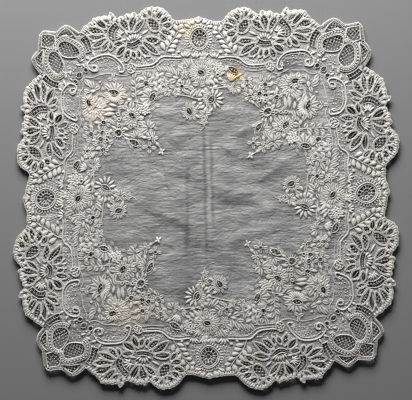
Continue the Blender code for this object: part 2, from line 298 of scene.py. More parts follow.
@dataclass(frozen=True)
class Cloth:
    """The real cloth: how the drawn square lies on it, with its unevenness and its creases."""

    square_half: float = 191.0 * MM
    drift_from: float = 130.0 * MM
    drift_whole: float = 180.0 * MM
    crease_taper: float = 0.25
    wander: float = 0.5 * MM
    crease_share: float = 0.6
    middle: tuple[float, float] = (0.0, 0.0)

    def drifted(self, plan: np.ndarray) -> np.ndarray:
        """Move drawn points by the wandering of the border's work along each side.

        Args:
            plan: Points of the drawn square, one row each, in metres.

        Returns:
            The moved points.
        """
        x, y = plan[:, 0].copy(), plan[:, 1].copy()
        quarters = np.zeros(len(plan), dtype=int)
        for _ in range(3):
            beside = y < np.abs(x)
            x[beside], y[beside] = -y[beside], x[beside].copy()
            quarters[beside] += 1
        weight = np.clip((y - self.drift_from) / (self.drift_whole - self.drift_from), 0.0, 1.0) * MM
        shift_x, shift_y = np.zeros(len(plan)), np.zeros(len(plan))
        for side, drifts in enumerate(DRIFTS):
            here = quarters == side
            knots = [drift.around for drift in drifts]
            shift_x[here] = np.interp(x[here] / MM, knots, [drift.shift_around for drift in drifts])
            shift_y[here] = np.interp(x[here] / MM, knots, [drift.shift_out for drift in drifts])
        x, y = x + weight * shift_x, y + weight * shift_y
        for count in (1, 2, 3):
            turned = quarters >= count
            x[turned], y[turned] = y[turned].copy(), -x[turned]
        return np.column_stack([x, y])

    def pulled(self, plan: np.ndarray) -> np.ndarray:
        """Carry drawn points to where they lie on the uneven cloth.

        Args:
            plan: Points of the drawn square, one row each, in metres.

        Returns:
            The same points on the real cloth, before it is centred.
        """
        drifted = self.drifted(plan)
        u, v = drifted[:, 0] / self.square_half, drifted[:, 1] / self.square_half
        shift = np.zeros_like(drifted)
        for pull in PULLS:
            if pull.across and pull.up:
                weight = 0.25 * (1 + pull.across * u) * (1 + pull.up * v)
                weight = weight * (pull.across * u + pull.up * v - 1)
            elif pull.up:
                weight = 0.5 * (1 - u * u) * (1 + pull.up * v)
            else:
                weight = 0.5 * (1 - v * v) * (1 + pull.across * u)
            shift += weight[:, None] * np.array([pull.shift_x, pull.shift_y]) * MM
        return drifted + shift + self.wander * self.unevenness(drifted / MM)

    @staticmethod
    def unevenness(places: np.ndarray) -> np.ndarray:
        """How hand work strays from the drawing, as slow waves that cross each other.

        Args:
            places: Drawn points, one row each, in millimetres.

        Returns:
            A shift across and up for each point, of 1.7 at most.
        """
        x, y = places[:, 0], places[:, 1]
        aside = np.sin(0.31 * y + 1.4 * np.sin(0.09 * x)) + 0.7 * np.sin(0.19 * x - 0.13 * y)
        up = np.sin(0.27 * x + 1.2 * np.sin(0.11 * y)) + 0.7 * np.sin(0.16 * y + 0.21 * x)
        return np.column_stack([aside, up])

    @staticmethod
    def waviness(places: np.ndarray) -> np.ndarray:
        """How high the laid cloth stands in slow waves.

        Args:
            places: Points of the real cloth, one row each, in millimetres.

        Returns:
            A height for each point, in millimetres.
        """
        x, y = places[:, 0], places[:, 1]
        wave = np.sin(0.11 * x + 0.03 * y) * np.sin(0.21 * y - 0.05 * x + 1.0)
        wave = wave + 0.6 * np.sin(0.33 * y + 0.08 * x) * np.sin(0.06 * x + 2.0)
        return np.clip(0.16 + 0.12 * wave, 0.0, 1.0)

    def crease_height(self, real: np.ndarray) -> np.ndarray:
        """How high the creases and a slight waviness lift the cloth.

        Args:
            real: Points of the real cloth, before it is centred, in metres.

        Returns:
            A height for each point, in metres.
        """
        height = np.zeros(len(real))
        for fold in FOLDS:
            knots = np.array([fold.start, fold.bend, fold.end]) * MM
            nearest = np.full(len(real), np.inf)
            share_there = np.zeros(len(real))
            for index, (start, end) in enumerate(zip(knots, knots[1:])):
                run = end - start
                share = np.clip((real - start) @ run / (run @ run), 0.0, 1.0)
                distance = np.linalg.norm(real - start - share[:, None] * run, axis=1)
                closer = distance < nearest
                nearest[closer] = distance[closer]
                share_there[closer] = (index + share[closer]) / 2
            spread = np.clip(nearest / (fold.width * MM), 0.0, 1.0)
            taper = np.clip(np.minimum(share_there, 1 - share_there) / self.crease_taper, 0.0, 1.0)
            lift = self.crease_share * fold.height * MM * taper * (0.5 + 0.5 * np.cos(np.pi * spread))
            height = np.maximum(height, lift)
        return height + self.waviness(real / MM) * MM

    def laid(self, points: np.ndarray) -> np.ndarray:
        """Bend drawn points in space onto the real cloth.

        Args:
            points: Points over the drawn square, one row each, in metres.

        Returns:
            The points in the object's own frame.
        """
        real = self.pulled(points[:, :2])
        height = points[:, 2] + self.crease_height(real)
        return np.column_stack([real - np.array(self.middle), height])


def bulge(start: Point, end: Point, rise: float, steps: int) -> list[Point]:
    """Points of a shallow arc that bulges to the left of its chord.

    Args:
        start: The arc's first point.
        end: The arc's last point, which isn't among those returned.
        rise: How far the arc's middle stands off the chord.
        steps: The number of points returned.

    Returns:
        The points, starting with start.
    """
    run = (end[0] - start[0], end[1] - start[1])
    length = math.hypot(*run)
    left = (-run[1] / length, run[0] / length)
    points = []
    for step in range(steps):
        share = step / steps
        lift = 4 * rise * share * (1 - share)
        x = start[0] + share * run[0] + lift * left[0]
        y = start[1] + share * run[1] + lift * left[1]
        points.append((x, y))
    return points


def outer_edge(step: float, inset: float = 0.0) -> np.ndarray:
    """The cloth's whole outer edge on the drawn square, clockwise from the middle of the top side.

    Args:
        step: The distance between points on a scallop, in metres.
        inset: How far inside the edge the line runs, in metres.

    Returns:
        The points, one row each, in metres.
    """
    eighth = []
    for here, after in zip(EDGE, EDGE[1:]):
        start = (here.along * MM, here.out * MM)
        end = (after.along * MM, after.out * MM)
        steps = max(2, round(math.dist(start, end) / step))
        eighth.extend(bulge(start, end, here.rise * MM, steps))
    eighth.append((EDGE[-1].along * MM, EDGE[-1].out * MM))
    back = [(out, along) for along, out in reversed(eighth)][:-1]
    quarter = np.array(eighth + back)
    edge = np.vstack([quarter @ turn.T for turn in Copies.SIDES.frames()])
    if not inset:
        return edge
    chord = np.roll(edge, -1, axis=0) - np.roll(edge, 1, axis=0)
    inward = np.column_stack([chord[:, 1], -chord[:, 0]])
    inward /= np.linalg.norm(inward, axis=1)[:, None]
    return edge + inset * inward


def points_inside(points: np.ndarray, outline: np.ndarray) -> np.ndarray:
    """Which points lie inside a closed outline.

    Args:
        points: Points, one row each.
        outline: The outline's corners in order, one row each.

    Returns:
        True for each point inside.
    """
    inside = np.zeros(len(points), dtype=bool)
    x, y = points[:, 0], points[:, 1]
    for (ax, ay), (bx, by) in zip(outline, np.roll(outline, -1, axis=0)):
        if ay == by:
            continue
        crosses = (ay > y) != (by > y)
        inside ^= crosses & (x < (bx - ax) * (y - ay) / (by - ay) + ax)
    return inside


GUARDED: list[tuple[np.ndarray, float, np.ndarray]] = []
INSIDE_EDGE: list[np.ndarray] = []


class Filling(Enum):
    """How an openwork window is filled with thread."""

    TWIN_ROWS = "a bar down the middle, with bars across it"
    LONG_BAR = "a bar down the middle alone"
    CROSSED = "a slanting net"
    PICK = "one of those for a narrow window, chosen for each copy"
    BARE = "left open"


@dataclass(frozen=True)
class Window:
    """An openwork window with a leaf-shaped or oval outline, in millimetres and degrees."""

    along: float
    out: float
    length: float
    width: float
    turn: float
    points: int = 16
    fullness: float = 0.8
    filling: Filling = Filling.PICK

    def outline(self, grow: float = 0.0) -> np.ndarray:
        """The window's outline on the drawn square.

        Args:
            grow: How far outside the window the line runs, in millimetres.

        Returns:
            Its points, one row each, in metres.
        """
        angles = np.linspace(0.0, 2 * np.pi, self.points, endpoint=False)
        half_length, half_width = 0.5 * self.length + grow, 0.5 * self.width + grow
        x = np.cos(angles)
        y = np.sign(np.sin(angles)) * np.abs(np.sin(angles)) ** (2 * self.fullness)
        local = np.column_stack([x * half_length, y * half_width])
        return (local @ turning(self.turn).T + np.array([self.along, self.out])) * MM

    @property
    def lie(self) -> float:
        """The direction of the window's length, in degrees."""
        return self.turn


@dataclass(frozen=True)
class Slot:
    """A curved openwork slot of even width through three points, in millimetres."""

    start: Point
    bend: Point
    end: Point
    width: float
    steps: int = 6
    filling: Filling = Filling.TWIN_ROWS

    def outline(self, grow: float = 0.0) -> np.ndarray:
        """The slot's outline on the drawn square.

        Args:
            grow: How far outside the slot the line runs, in millimetres.

        Returns:
            Its points, one row each, in metres.
        """
        start, bend, end = (np.array(point, dtype=float) for point in (self.start, self.bend, self.end))
        shares = np.linspace(0.0, 1.0, self.steps + 1)[:, None]
        line, ways = arched(start, bend, end, shares)
        ways /= np.linalg.norm(ways, axis=1)[:, None]
        line[0] -= grow * ways[0]
        line[-1] += grow * ways[-1]
        aside = np.column_stack([-ways[:, 1], ways[:, 0]]) * (0.5 * self.width + grow)
        return np.vstack([line + aside, (line - aside)[::-1]]) * MM

    @property
    def lie(self) -> float:
        """The direction from the slot's start to its end, in degrees."""
        return heading((self.end[0] - self.start[0], self.end[1] - self.start[1]))


@dataclass(frozen=True)
class Panel:
    """An openwork window with straight sides, given by its corners in millimetres."""

    corners: tuple[Point, ...]
    lie: float = 45.0
    filling: Filling = Filling.CROSSED
    corner_share: float = 1.25

    def outline(self, grow: float = 0.0) -> np.ndarray:
        """The panel's outline on the drawn square.

        Args:
            grow: How far outside the panel the line runs, in millimetres.

        Returns:
            Its points, one row each, in metres.
        """
        corners = np.array(self.corners, dtype=float)
        middle = corners.mean(axis=0)
        reach = np.linalg.norm(corners - middle, axis=1)[:, None]
        return (corners + (corners - middle) / reach * grow * self.corner_share) * MM


LOBE_EYE = Window(52.5, 198.5, 16.0, 8.5, 48, 20, 0.5, Filling.CROSSED)
CORNER_OVAL = Window(155.5, 170.5, 25.2, 16.2, 20, 28, 0.5, Filling.CROSSED)
FAN_WINDOWS = (
    Window(45.0, 210.5, 9.5, 4.2, -50, 12),
    Window(39.5, 204.5, 10.5, 4.4, -32, 12),
    Window(35.5, 198.3, 10.0, 4.2, -14, 12),
    Window(37.5, 190.0, 10.0, 4.6, 5, 12),
    Window(41.5, 183.5, 8.0, 4.2, 45, 12),
    Window(56.0, 212.5, 7.5, 2.8, 75, 12, filling=Filling.LONG_BAR),
    Window(63.0, 209.5, 7.0, 3.0, 45, 12, filling=Filling.LONG_BAR),
    Window(70.0, 198.0, 15.5, 4.6, -48),
    Window(77.5, 201.0, 18.5, 6.3, 105, filling=Filling.TWIN_ROWS),
    Window(87.5, 200.0, 17.5, 5.8, 58),
    Window(103.0, 208.0, 9.5, 3.0, 68, 12, filling=Filling.LONG_BAR),
    Window(110.5, 204.5, 11.5, 3.5, 37, 12),
    Window(117.5, 201.0, 18.0, 5.2, 36),
    Window(123.5, 193.5, 20.0, 5.8, 15),
    Window(122.5, 186.3, 20.5, 4.3, -2),
    Window(118.0, 179.2, 18.5, 4.6, -27),
    Window(111.0, 176.0, 12.0, 4.2, -53, 12),
    Window(105.0, 175.5, 7.0, 2.9, -80, 12, filling=Filling.LONG_BAR),
    Window(55.0, 181.5, 16.0, 5.2, 7),
    Window(56.5, 172.5, 20.5, 5.8, 35, filling=Filling.TWIN_ROWS),
    Window(64.0, 168.5, 14.0, 5.2, 46),
    Window(71.5, 166.5, 7.0, 2.5, 80, 12, filling=Filling.LONG_BAR),
    Window(77.5, 165.5, 7.0, 3.2, 70, 12, filling=Filling.LONG_BAR),
    Window(84.5, 164.5, 11.5, 4.4, -72, 12),
    Window(92.5, 169.5, 12.5, 5.2, -40, 12, filling=Filling.LONG_BAR),
    Window(94.5, 177.5, 10.5, 3.7, -5, 12, filling=Filling.LONG_BAR),
)
FAN_SLOTS = (
    Slot((97.0, 200.5), (106.8, 192.5), (103.7, 183.3), 5.4),
    Slot((69.5, 180.0), (76.5, 175.5), (83.5, 178.0), 3.2, filling=Filling.LONG_BAR),
)
LADDER = Slot((138.3, 184.5), (132.0, 177.0), (130.5, 169.5), 6.0)
TENT = Panel(
    ((148.0, 186.2), (153.0, 191.4), (159.0, 195.0), (164.4, 190.8), (169.0, 185.6), (159.0, 187.6)), 20.0
)
CORNER_HALF = ((171.6, 171.6), (171.8, 179.5), (173.4, 186.4), (180.0, 187.0), (186.6, 186.6))
CORNER_PANEL = Panel(CORNER_HALF + tuple((out, along) for along, out in reversed(CORNER_HALF[1:-1])), 0.0)
MEDALLION = Window(0.0, 183.5, 20.5, 16.2, 90, 24, 0.5, Filling.BARE)
MEDALLION_RIBS = Window(0.0, 183.5, 20.5, 16.2, 90, 32, 0.5)
CORNER_EYELET = Window(142.3, 142.3, 5.0, 4.8, 0, 10, 0.5, Filling.LONG_BAR)
SIDE_EYELET = Window(135.0, 147.0, 4.4, 3.2, 60, 8, 0.5, Filling.BARE)

# Windows of one corner spray and one side spray, which are turned round the square, not mirrored.
SPRAY_WINDOWS = (
    Window(-102.3, 123.0, 12.6, 4.8, -10, 12, filling=Filling.CROSSED),
    Window(-131.3, 109.2, 8.6, 5.4, 85, 10, filling=Filling.LONG_BAR),
    Window(-80.7, 95.4, 8.6, 6.2, -25, 10, filling=Filling.CROSSED),
    Window(-97.5, 76.1, 8.2, 6.4, 90, 12, 0.6, Filling.CROSSED),
    Window(-79.6, 64.6, 12.0, 4.8, -28, 12, filling=Filling.CROSSED),
    Window(-56.6, 117.0, 10.6, 4.8, 72, 12, filling=Filling.TWIN_ROWS),
    Window(-63.5, 132.0, 5.8, 5.2, 45, 8, filling=Filling.CROSSED),
    Window(0.2, 145.2, 7.4, 4.8, -35, 10, filling=Filling.LONG_BAR),
    Window(-14.1, 99.5, 9.4, 4.8, -58, 12, filling=Filling.LONG_BAR),
    Window(12.2, 113.0, 10.6, 4.8, 68, 12, filling=Filling.TWIN_ROWS),
    Window(38.0, 147.1, 12.0, 5.0, -30, 12, filling=Filling.TWIN_ROWS),
)
EYELETS = (
    Window(-128.8, 74.5, 4.2, 4.0, 0, 8, 0.5, Filling.LONG_BAR),
    Window(-115.5, 75.0, 4.2, 4.0, 20, 8, 0.5, Filling.LONG_BAR),
    Window(-118.0, 68.3, 4.2, 4.0, 40, 8, 0.5, Filling.LONG_BAR),
    Window(-114.3, 87.0, 4.2, 4.0, 60, 8, 0.5, Filling.LONG_BAR),
    Window(-115.7, 56.0, 4.2, 4.0, 80, 8, 0.5, Filling.LONG_BAR),
    Window(-132.5, 53.5, 4.2, 4.0, 45, 8, 0.5, Filling.LONG_BAR),
    Window(-110.0, 73.5, 1.8, 1.8, 0, 6, 0.5, Filling.BARE),
    Window(-111.5, 67.0, 1.8, 1.8, 0, 6, 0.5, Filling.BARE),
    Window(-57.7, 70.7, 2.4, 2.0, 20, 6, 0.5, Filling.BARE),
    Window(-62.0, 58.2, 3.0, 2.8, 20, 6, 0.5, Filling.BARE),
    Window(-22.3, 128.9, 3.4, 3.2, 0, 8, 0.5, Filling.BARE),
)


@dataclass
class Stitch:
    """A small closed mesh: its points, its triangles, a flat map in metres and each point's rise."""

    points: np.ndarray
    faces: np.ndarray
    uvs: np.ndarray
    rise: np.ndarray

    @classmethod
    def from_bmesh(cls, mesh: bmesh.types.BMesh) -> "Stitch":
        """Take the shape of a bmesh, and free it.

        Args:
            mesh: The shape, whose faces point outwards.

        Returns:
            The stitch, mapped flat from above.
        """
        bmesh.ops.triangulate(mesh, faces=mesh.faces[:])
        mesh.verts.index_update()
        points = np.array([vert.co[:] for vert in mesh.verts])
        faces = np.array([[vert.index for vert in face.verts] for face in mesh.faces])
        mesh.free()
        heights = points[:, 2]
        rise = (heights - heights.min()) / (heights.max() - heights.min())
        return cls(points, faces, points[:, :2].copy(), rise)

    def scaled(self, length: float, width: float, height: float) -> "Stitch":
        """The stitch at a real size.

        Args:
            length: The size along x, in metres.
            width: The size along y, in metres.
            height: The size along z, in metres.

        Returns:
            A new stitch.
        """
        size = np.array([length, width, height])
        return Stitch(self.points * size, self.faces, self.uvs * size[:2], self.rise)

    def placed(self, x: float, y: float, turn: float, lift: float) -> "Stitch":
        """The stitch turned about z and moved to a place.

        Args:
            x: The place across the drawn square, in metres.
            y: The place up the drawn square, in metres.
            turn: The turn, in degrees.
            lift: The height that it is raised by, in metres.

        Returns:
            A new stitch.
        """
        points = self.points.copy()
        points[:, :2] = points[:, :2] @ turning(turn).T + np.array([x, y])
        points[:, 2] += lift
        return Stitch(points, self.faces, self.uvs, self.rise)


# The turn that lays an upright shape along x.
ALONG_X = Matrix.Rotation(math.pi / 2, 3, "Y")


def domed(
    profile: Callable[[float], float], sides: int, rings: int, vein: float = 0.0, skirt: float = 0.24
) -> Stitch:
    """A closed, flat-bottomed pad of unit length, width and height.

    Args:
        profile: The pad's half width, 0 to 1, at each share of its length.
        sides: The number of sides of the sphere that it is cut from, a multiple of 4.
        rings: The number of rings along it.
        vein: How deep a groove runs down its middle, from 0 to 1; it also lowers the rise of the groove's
            points, for painted shade in the groove.
        skirt: How far its foot spreads past its sides, as a share of its width.

    Returns:
        The pad, lying along x with its bottom at z = 0.
    """
    pad = bmesh.new()
    bmesh.ops.create_uvsphere(pad, u_segments=sides, v_segments=rings, radius=0.5)
    bmesh.ops.rotate(pad, verts=pad.verts[:], cent=(0, 0, 0), matrix=ALONG_X)
    everything = pad.verts[:] + pad.edges[:] + pad.faces[:]
    cut = {"plane_co": (0, 0, 0), "plane_no": (0, 0, 1), "dist": 1e-5}
    bmesh.ops.bisect_plane(pad, geom=everything, clear_inner=True, **cut)
    bmesh.ops.holes_fill(pad, edges=[edge for edge in pad.edges if edge.is_boundary], sides=0)
    for vert in pad.verts:
        round_half = math.sqrt(max(1e-6, 0.25 - vert.co.x**2))
        share = min(1.0, max(0.0, vert.co.x + 0.5))
        wanted = 0.5 * profile(share)
        middle = abs(vert.co.y) < 0.02 and abs(vert.co.x) < 0.49
        vert.co.y *= wanted / round_half
        vert.co.z *= 2 * math.sqrt(wanted * 2) * 0.5 / round_half * (1 - vein if middle else 1)
    for vert in pad.verts:
        if vert.co.z < 1e-4:
            vert.co.x *= 1 + 0.3 * skirt
            vert.co.y *= 1 + skirt
    bmesh.ops.recalc_face_normals(pad, faces=pad.faces[:])
    stitch = Stitch.from_bmesh(pad)
    # Painted shade in the groove: its points' rise is lowered once more, so that the finish darkens it.
    groove = (np.abs(stitch.points[:, 1]) < 0.02) & (stitch.points[:, 2] > 0.01)
    stitch.rise[groove] *= 1 - vein
    return stitch


class Pad(Enum):
    """The padded satin shapes that the flowers and leaves are made of."""

    LEAF = "pointed at both ends"
    SPLIT = "a leaf with a groove down its middle"
    PETAL = "pointed at its root, broad at its tip"
    CUP = "a broad petal with a groove"
    BAR = "a short even stitch"
    KNOT = "a knot"
    BEAD = "a rounder, smoother knot"

    def stitch(self) -> Stitch:
        """The pad's own small mesh, of unit size."""
        return PAD_STITCHES[self]


def ball(subdivisions: int) -> Stitch:
    """A closed ball of unit size.

    Args:
        subdivisions: How finely it is divided.

    Returns:
        The ball, with its lowest point at z = 0.
    """
    shape = bmesh.new()
    bmesh.ops.create_icosphere(shape, subdivisions=subdivisions, radius=0.5)
    bmesh.ops.translate(shape, verts=shape.verts[:], vec=(0, 0, 0.5))
    return Stitch.from_bmesh(shape)


def thread_piece() -> Stitch:
    """A closed four-sided thread of unit length and thickness.

    Returns:
        The thread, lying along x about its middle.
    """
    thread = bmesh.new()
    half = {"radius1": 0.62, "radius2": 0.62, "depth": 1.0}
    bmesh.ops.create_cone(thread, cap_ends=True, segments=4, **half)
    bmesh.ops.rotate(thread, verts=thread.verts[:], cent=(0, 0, 0), matrix=ALONG_X)
    return Stitch.from_bmesh(thread)


PAD_STITCHES = {
    Pad.LEAF: domed(lambda share: math.sin(math.pi * share**0.9) ** 1.15, 8, 6),
    Pad.SPLIT: domed(lambda share: math.sin(math.pi * share**0.9) ** 1.15, 8, 8, 0.62),
    Pad.PETAL: domed(lambda share: math.sin(math.pi * share**1.6) ** 0.75, 8, 6),
    Pad.CUP: domed(lambda share: math.sin(math.pi * share**1.5) ** 0.8, 8, 8, 0.75),
    Pad.BAR: domed(lambda share: min(1.0, 5 * min(share, 1 - share)) ** 0.6, 4, 5, skirt=0.0),
    Pad.KNOT: ball(1),
    Pad.BEAD: ball(2),
}
THREAD = thread_piece()


# Where a pad is tested for lying over an opening, as shares of its size, and how far it is nudged.
PROBES_ALONG = (-0.42, -0.2, 0.0, 0.2, 0.42)
PROBE_ASIDE = 0.3
NUDGE = 0.5 * MM
MOST_NUDGES = 8
MOST_EDGE_NUDGES = 12


def clear_of_openings(middle: np.ndarray, length: float, width: float, turn: float) -> np.ndarray | None:
    """Move a pad off the openings that it would cover.

    Args:
        middle: The pad's middle on the drawn square, in metres.
        length: Its length, in metres.
        width: Its width, in metres.
        turn: Its turn, in degrees.

    Returns:
        The middle of the pad at the nearest clear place, or None where there is none near by.
    """
    way = direction(turn)
    aside = np.array([-way[1], way[0]])
    spots = np.array([way * length * share for share in PROBES_ALONG])
    spots = np.vstack([spots, aside * width * PROBE_ASIDE, -aside * width * PROBE_ASIDE])
    for centre, reach, outline in GUARDED:
        if np.hypot(*(middle - centre)) > reach + 0.5 * length:
            continue
        for _ in range(MOST_NUDGES):
            if not points_inside(spots + middle, outline).any():
                break
            away = middle - centre
            middle = middle + away / max(1e-6, float(np.hypot(*away))) * NUDGE
        else:
            return None
    for _ in range(MOST_EDGE_NUDGES):
        if points_inside(spots + middle, INSIDE_EDGE[0]).all():
            break
        middle = middle * (1 - NUDGE / float(np.hypot(*middle)))
    return middle


class Needlework:
    """Stitches gathered over the drawn square, and laid on the cloth as one piece."""

    def __init__(self, name: str, cloth: Cloth) -> None:
        """Start an empty piece.

        Args:
            name: The name of the piece.
            cloth: The cloth that it is laid on.
        """
        self.name = name
        self.cloth = cloth
        self.points: list[np.ndarray] = []
        self.faces: list[np.ndarray] = []
        self.uvs: list[np.ndarray] = []
        self.rises: list[np.ndarray] = []
        self.count = 0
        self.footprints: list[tuple[float, float, float, float, float]] = []

    def add(self, stitch: Stitch, frames: Iterable[np.ndarray]) -> None:
        """Add a stitch at all its places round the square.

        Args:
            stitch: The stitch as drawn.
            frames: The flat transforms that carry it to its places.
        """
        for frame_2d in frames:
            points = stitch.points.copy()
            points[:, :2] = points[:, :2] @ frame_2d.T
            mirrored = np.linalg.det(frame_2d) < 0
            faces = stitch.faces[:, ::-1] if mirrored else stitch.faces
            self.points.append(points)
            self.faces.append(faces + self.count)
            self.uvs.append(stitch.uvs)
            self.rises.append(stitch.rise)
            self.count += len(points)

    def pad(
        self,
        pad: Pad,
        place: Point,
        size: tuple[float, float, float],
        turn: float = 0.0,
        copies: Copies = Copies.EIGHTHS,
        lift: float = ON_LAWN,
        guarded: bool = False,
    ) -> None:
        """Add a satin pad.

        Args:
            pad: Its shape.
            place: Its middle, in millimetres on the drawn square.
            size: Its length, width and height, in millimetres.
            turn: Its turn, in degrees.
            copies: How often it comes back.
            lift: The height of its bottom, in metres.
            guarded: Whether it is moved off the openings, or left out where it can't be.
        """
        middle = np.array(place) * MM
        if guarded:
            middle = clear_of_openings(middle, size[0] * MM, size[1] * MM, turn)
        if middle is None:
            return
        self.footprints.append((*(middle / MM), 0.5 * size[0], 0.5 * size[1], math.radians(turn)))
        stitch = pad.stitch().scaled(size[0] * MM, size[1] * MM, size[2] * MM)
        self.add(stitch.placed(middle[0], middle[1], turn, lift), copies.frames())

    def room(self, place: np.ndarray) -> tuple[float, float]:
        """How much free ground there is round a place.

        Args:
            place: The place, in millimetres on the drawn square.

        Returns:
            The distance to the nearest pad, in millimetres, and the direction away from it, in degrees.
        """
        pads = np.array(self.footprints)
        away = place - pads[:, :2]
        along = away[:, 0] * np.cos(pads[:, 4]) + away[:, 1] * np.sin(pads[:, 4])
        aside = away[:, 1] * np.cos(pads[:, 4]) - away[:, 0] * np.sin(pads[:, 4])
        reach = np.hypot(along, aside)
        share = np.hypot(along / pads[:, 2], aside / pads[:, 3])
        gaps = reach * (1 - 1 / np.maximum(share, 1e-6))
        nearest = int(np.argmin(gaps))
        return float(gaps[nearest]), heading(away[nearest])

    def cords(
        self,
        paths: Sequence[np.ndarray],
        thickness: float,
        frames: Iterable[np.ndarray],
        closed: bool = False,
        flat: float = 0.85,
        smooth: bool = True,
        lift: float = ON_LAWN,
    ) -> None:
        """Add raised cords that follow paths on the drawn square.

        Args:
            paths: The points of each cord, in metres.
            thickness: The cords' thickness, in metres.
            frames: The flat transforms that carry them to their places.
            closed: Whether each cord runs back into itself.
            flat: The height of a cord as a share of its thickness.
            smooth: Whether each cord curves smoothly through its points.
            lift: The height of the cords' lowest line, in metres.
        """
        line = bpy.data.curves.new("cord_line", "CURVE")
        line.dimensions = "3D"
        line.bevel_depth = 0.5 * thickness
        line.bevel_resolution = CORD_ROUNDNESS
        line.use_fill_caps = not closed
        line.resolution_u = CORD_STEPS
        for path in paths:
            spline = line.splines.new("BEZIER" if smooth else "POLY")
            knots = spline.bezier_points if smooth else spline.points
            knots.add(len(path) - 1)
            for knot, place in zip(knots, path):
                knot.co = (place[0], place[1], 0.0) if smooth else (place[0], place[1], 0.0, 1.0)
                if smooth:
                    knot.handle_left_type = knot.handle_right_type = "AUTO"
            spline.use_cyclic_u = closed
        holder = bpy.data.objects.new("cord_line", line)
        swept = bpy.data.meshes.new_from_object(holder)
        bpy.data.objects.remove(holder)
        bpy.data.curves.remove(line)
        shape = bmesh.new()
        shape.from_mesh(swept)
        bpy.data.meshes.remove(swept)
        bmesh.ops.remove_doubles(shape, verts=shape.verts[:], dist=1e-6)
        bmesh.ops.scale(shape, verts=shape.verts[:], vec=(1, 1, flat))
        bmesh.ops.translate(shape, verts=shape.verts[:], vec=(0, 0, lift + 0.5 * thickness * flat))
        bmesh.ops.recalc_face_normals(shape, faces=shape.faces[:])
        self.add(Stitch.from_bmesh(shape), frames)

    def thread(self, start: np.ndarray, end: np.ndarray, thickness: float, frames: list[np.ndarray]) -> None:
        """Add one straight thread of a window's filling.

        Args:
            start: Its first end on the drawn square, in metres.
            end: Its other end.
            thickness: Its thickness, in metres.
            frames: The flat transforms that carry it to its places.
        """
        run = end - start
        length = float(np.linalg.norm(run))
        if length < thickness:
            return
        middle = 0.5 * (start + end)
        stitch = THREAD.scaled(length, thickness, 0.75 * thickness)
        self.add(stitch.placed(middle[0], middle[1], heading(run), NET_HEIGHT), frames)

    def piece(self, material: bpy.types.Material, smooth: bool = True) -> bpy.types.Object:
        """Lay the stitches on the cloth and join them into one object.

        Args:
            material: The finish of the piece.
            smooth: Whether its faces are shaded smoothly into each other.

        Returns:
            The object, whose place is in its mesh.
        """
        points = self.cloth.laid(np.vstack(self.points))
        faces = np.vstack(self.faces)
        uvs = np.vstack(self.uvs)
        mesh = bpy.data.meshes.new(self.name)
        mesh.vertices.add(len(points))
        mesh.vertices.foreach_set("co", points.ravel())
        mesh.loops.add(faces.size)
        mesh.loops.foreach_set("vertex_index", faces.ravel())
        mesh.polygons.add(len(faces))
        mesh.polygons.foreach_set("loop_start", np.arange(0, faces.size, 3))
        mesh.polygons.foreach_set("use_smooth", np.full(len(faces), smooth))
        mesh.update(calc_edges=True)
        uv_map = mesh.uv_layers.new(name="thread_map")
        uv_map.data.foreach_set("uv", uvs[faces.ravel()].ravel())
        rise = mesh.attributes.new("rise", "FLOAT", "POINT")
        rise.data.foreach_set("value", np.concatenate(self.rises))
        mesh.validate()
        return finished_piece(self.name, mesh, material)


def finished_piece(name: str, mesh: bpy.types.Mesh, material: bpy.types.Material) -> bpy.types.Object:
    """Make a mesh a piece of the handkerchief.

    Args:
        name: The name of the piece.
        mesh: Its mesh, in the object's own frame.
        material: Its finish.

    Returns:
        The piece, riding on the handkerchief's body.
    """
    mesh.materials.append(material)
    piece = bpy.data.objects.new(name, mesh)
    bpy.context.scene.collection.objects.link(piece)
    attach(piece, BODY)
    LOG.info("%s: %d faces", name, len(mesh.polygons))
    return piece


def cuts_of_line(
    outline: np.ndarray, through: np.ndarray, way: np.ndarray
) -> list[tuple[np.ndarray, np.ndarray]]:
    """The stretches of a straight line that lie inside an outline.

    Args:
        outline: The outline's corners in order.
        through: A point of the line.
        way: The line's direction, of length 1.

    Returns:
        The two ends of each stretch.
    """
    aside = np.array([-way[1], way[0]])
    offsets = (outline - through) @ aside
    reaches = (outline - through) @ way
    crossings = []
    for index in range(len(outline)):
        after = (index + 1) % len(outline)
        if (offsets[index] > 0) != (offsets[after] > 0):
            share = offsets[index] / (offsets[index] - offsets[after])
            crossings.append(reaches[index] + share * (reaches[after] - reaches[index]))
    crossings.sort()
    pairs = zip(crossings[::2], crossings[1::2])
    return [(through + way * near, through + way * far) for near, far in pairs]


def every_opening() -> list[tuple[Window | Slot | Panel, Copies]]:
    """All the openings of the cloth.

    Returns:
        Each opening as drawn, with how often it comes back.
    """
    eighths = [LOBE_EYE, CORNER_OVAL, LADDER, TENT, SIDE_EYELET, *FAN_WINDOWS, *FAN_SLOTS]
    sides = [CORNER_PANEL, MEDALLION, CORNER_EYELET, *SPRAY_WINDOWS, *EYELETS]
    groups = ((eighths, Copies.EIGHTHS), (sides, Copies.SIDES))
    return [(opening, copies) for openings, copies in groups for opening in openings]


def guard_openings() -> None:
    """Note the outline of every opening, as drawn, so that no pad is laid over it."""
    for opening, _ in every_opening():
        outline = opening.outline(GUARD_GAP)
        centre = outline.mean(axis=0)
        GUARDED.append((centre, float(np.linalg.norm(outline - centre, axis=1).max()), outline))
    INSIDE_EDGE.append(outer_edge(EDGE_STEP, EDGE_GAP))


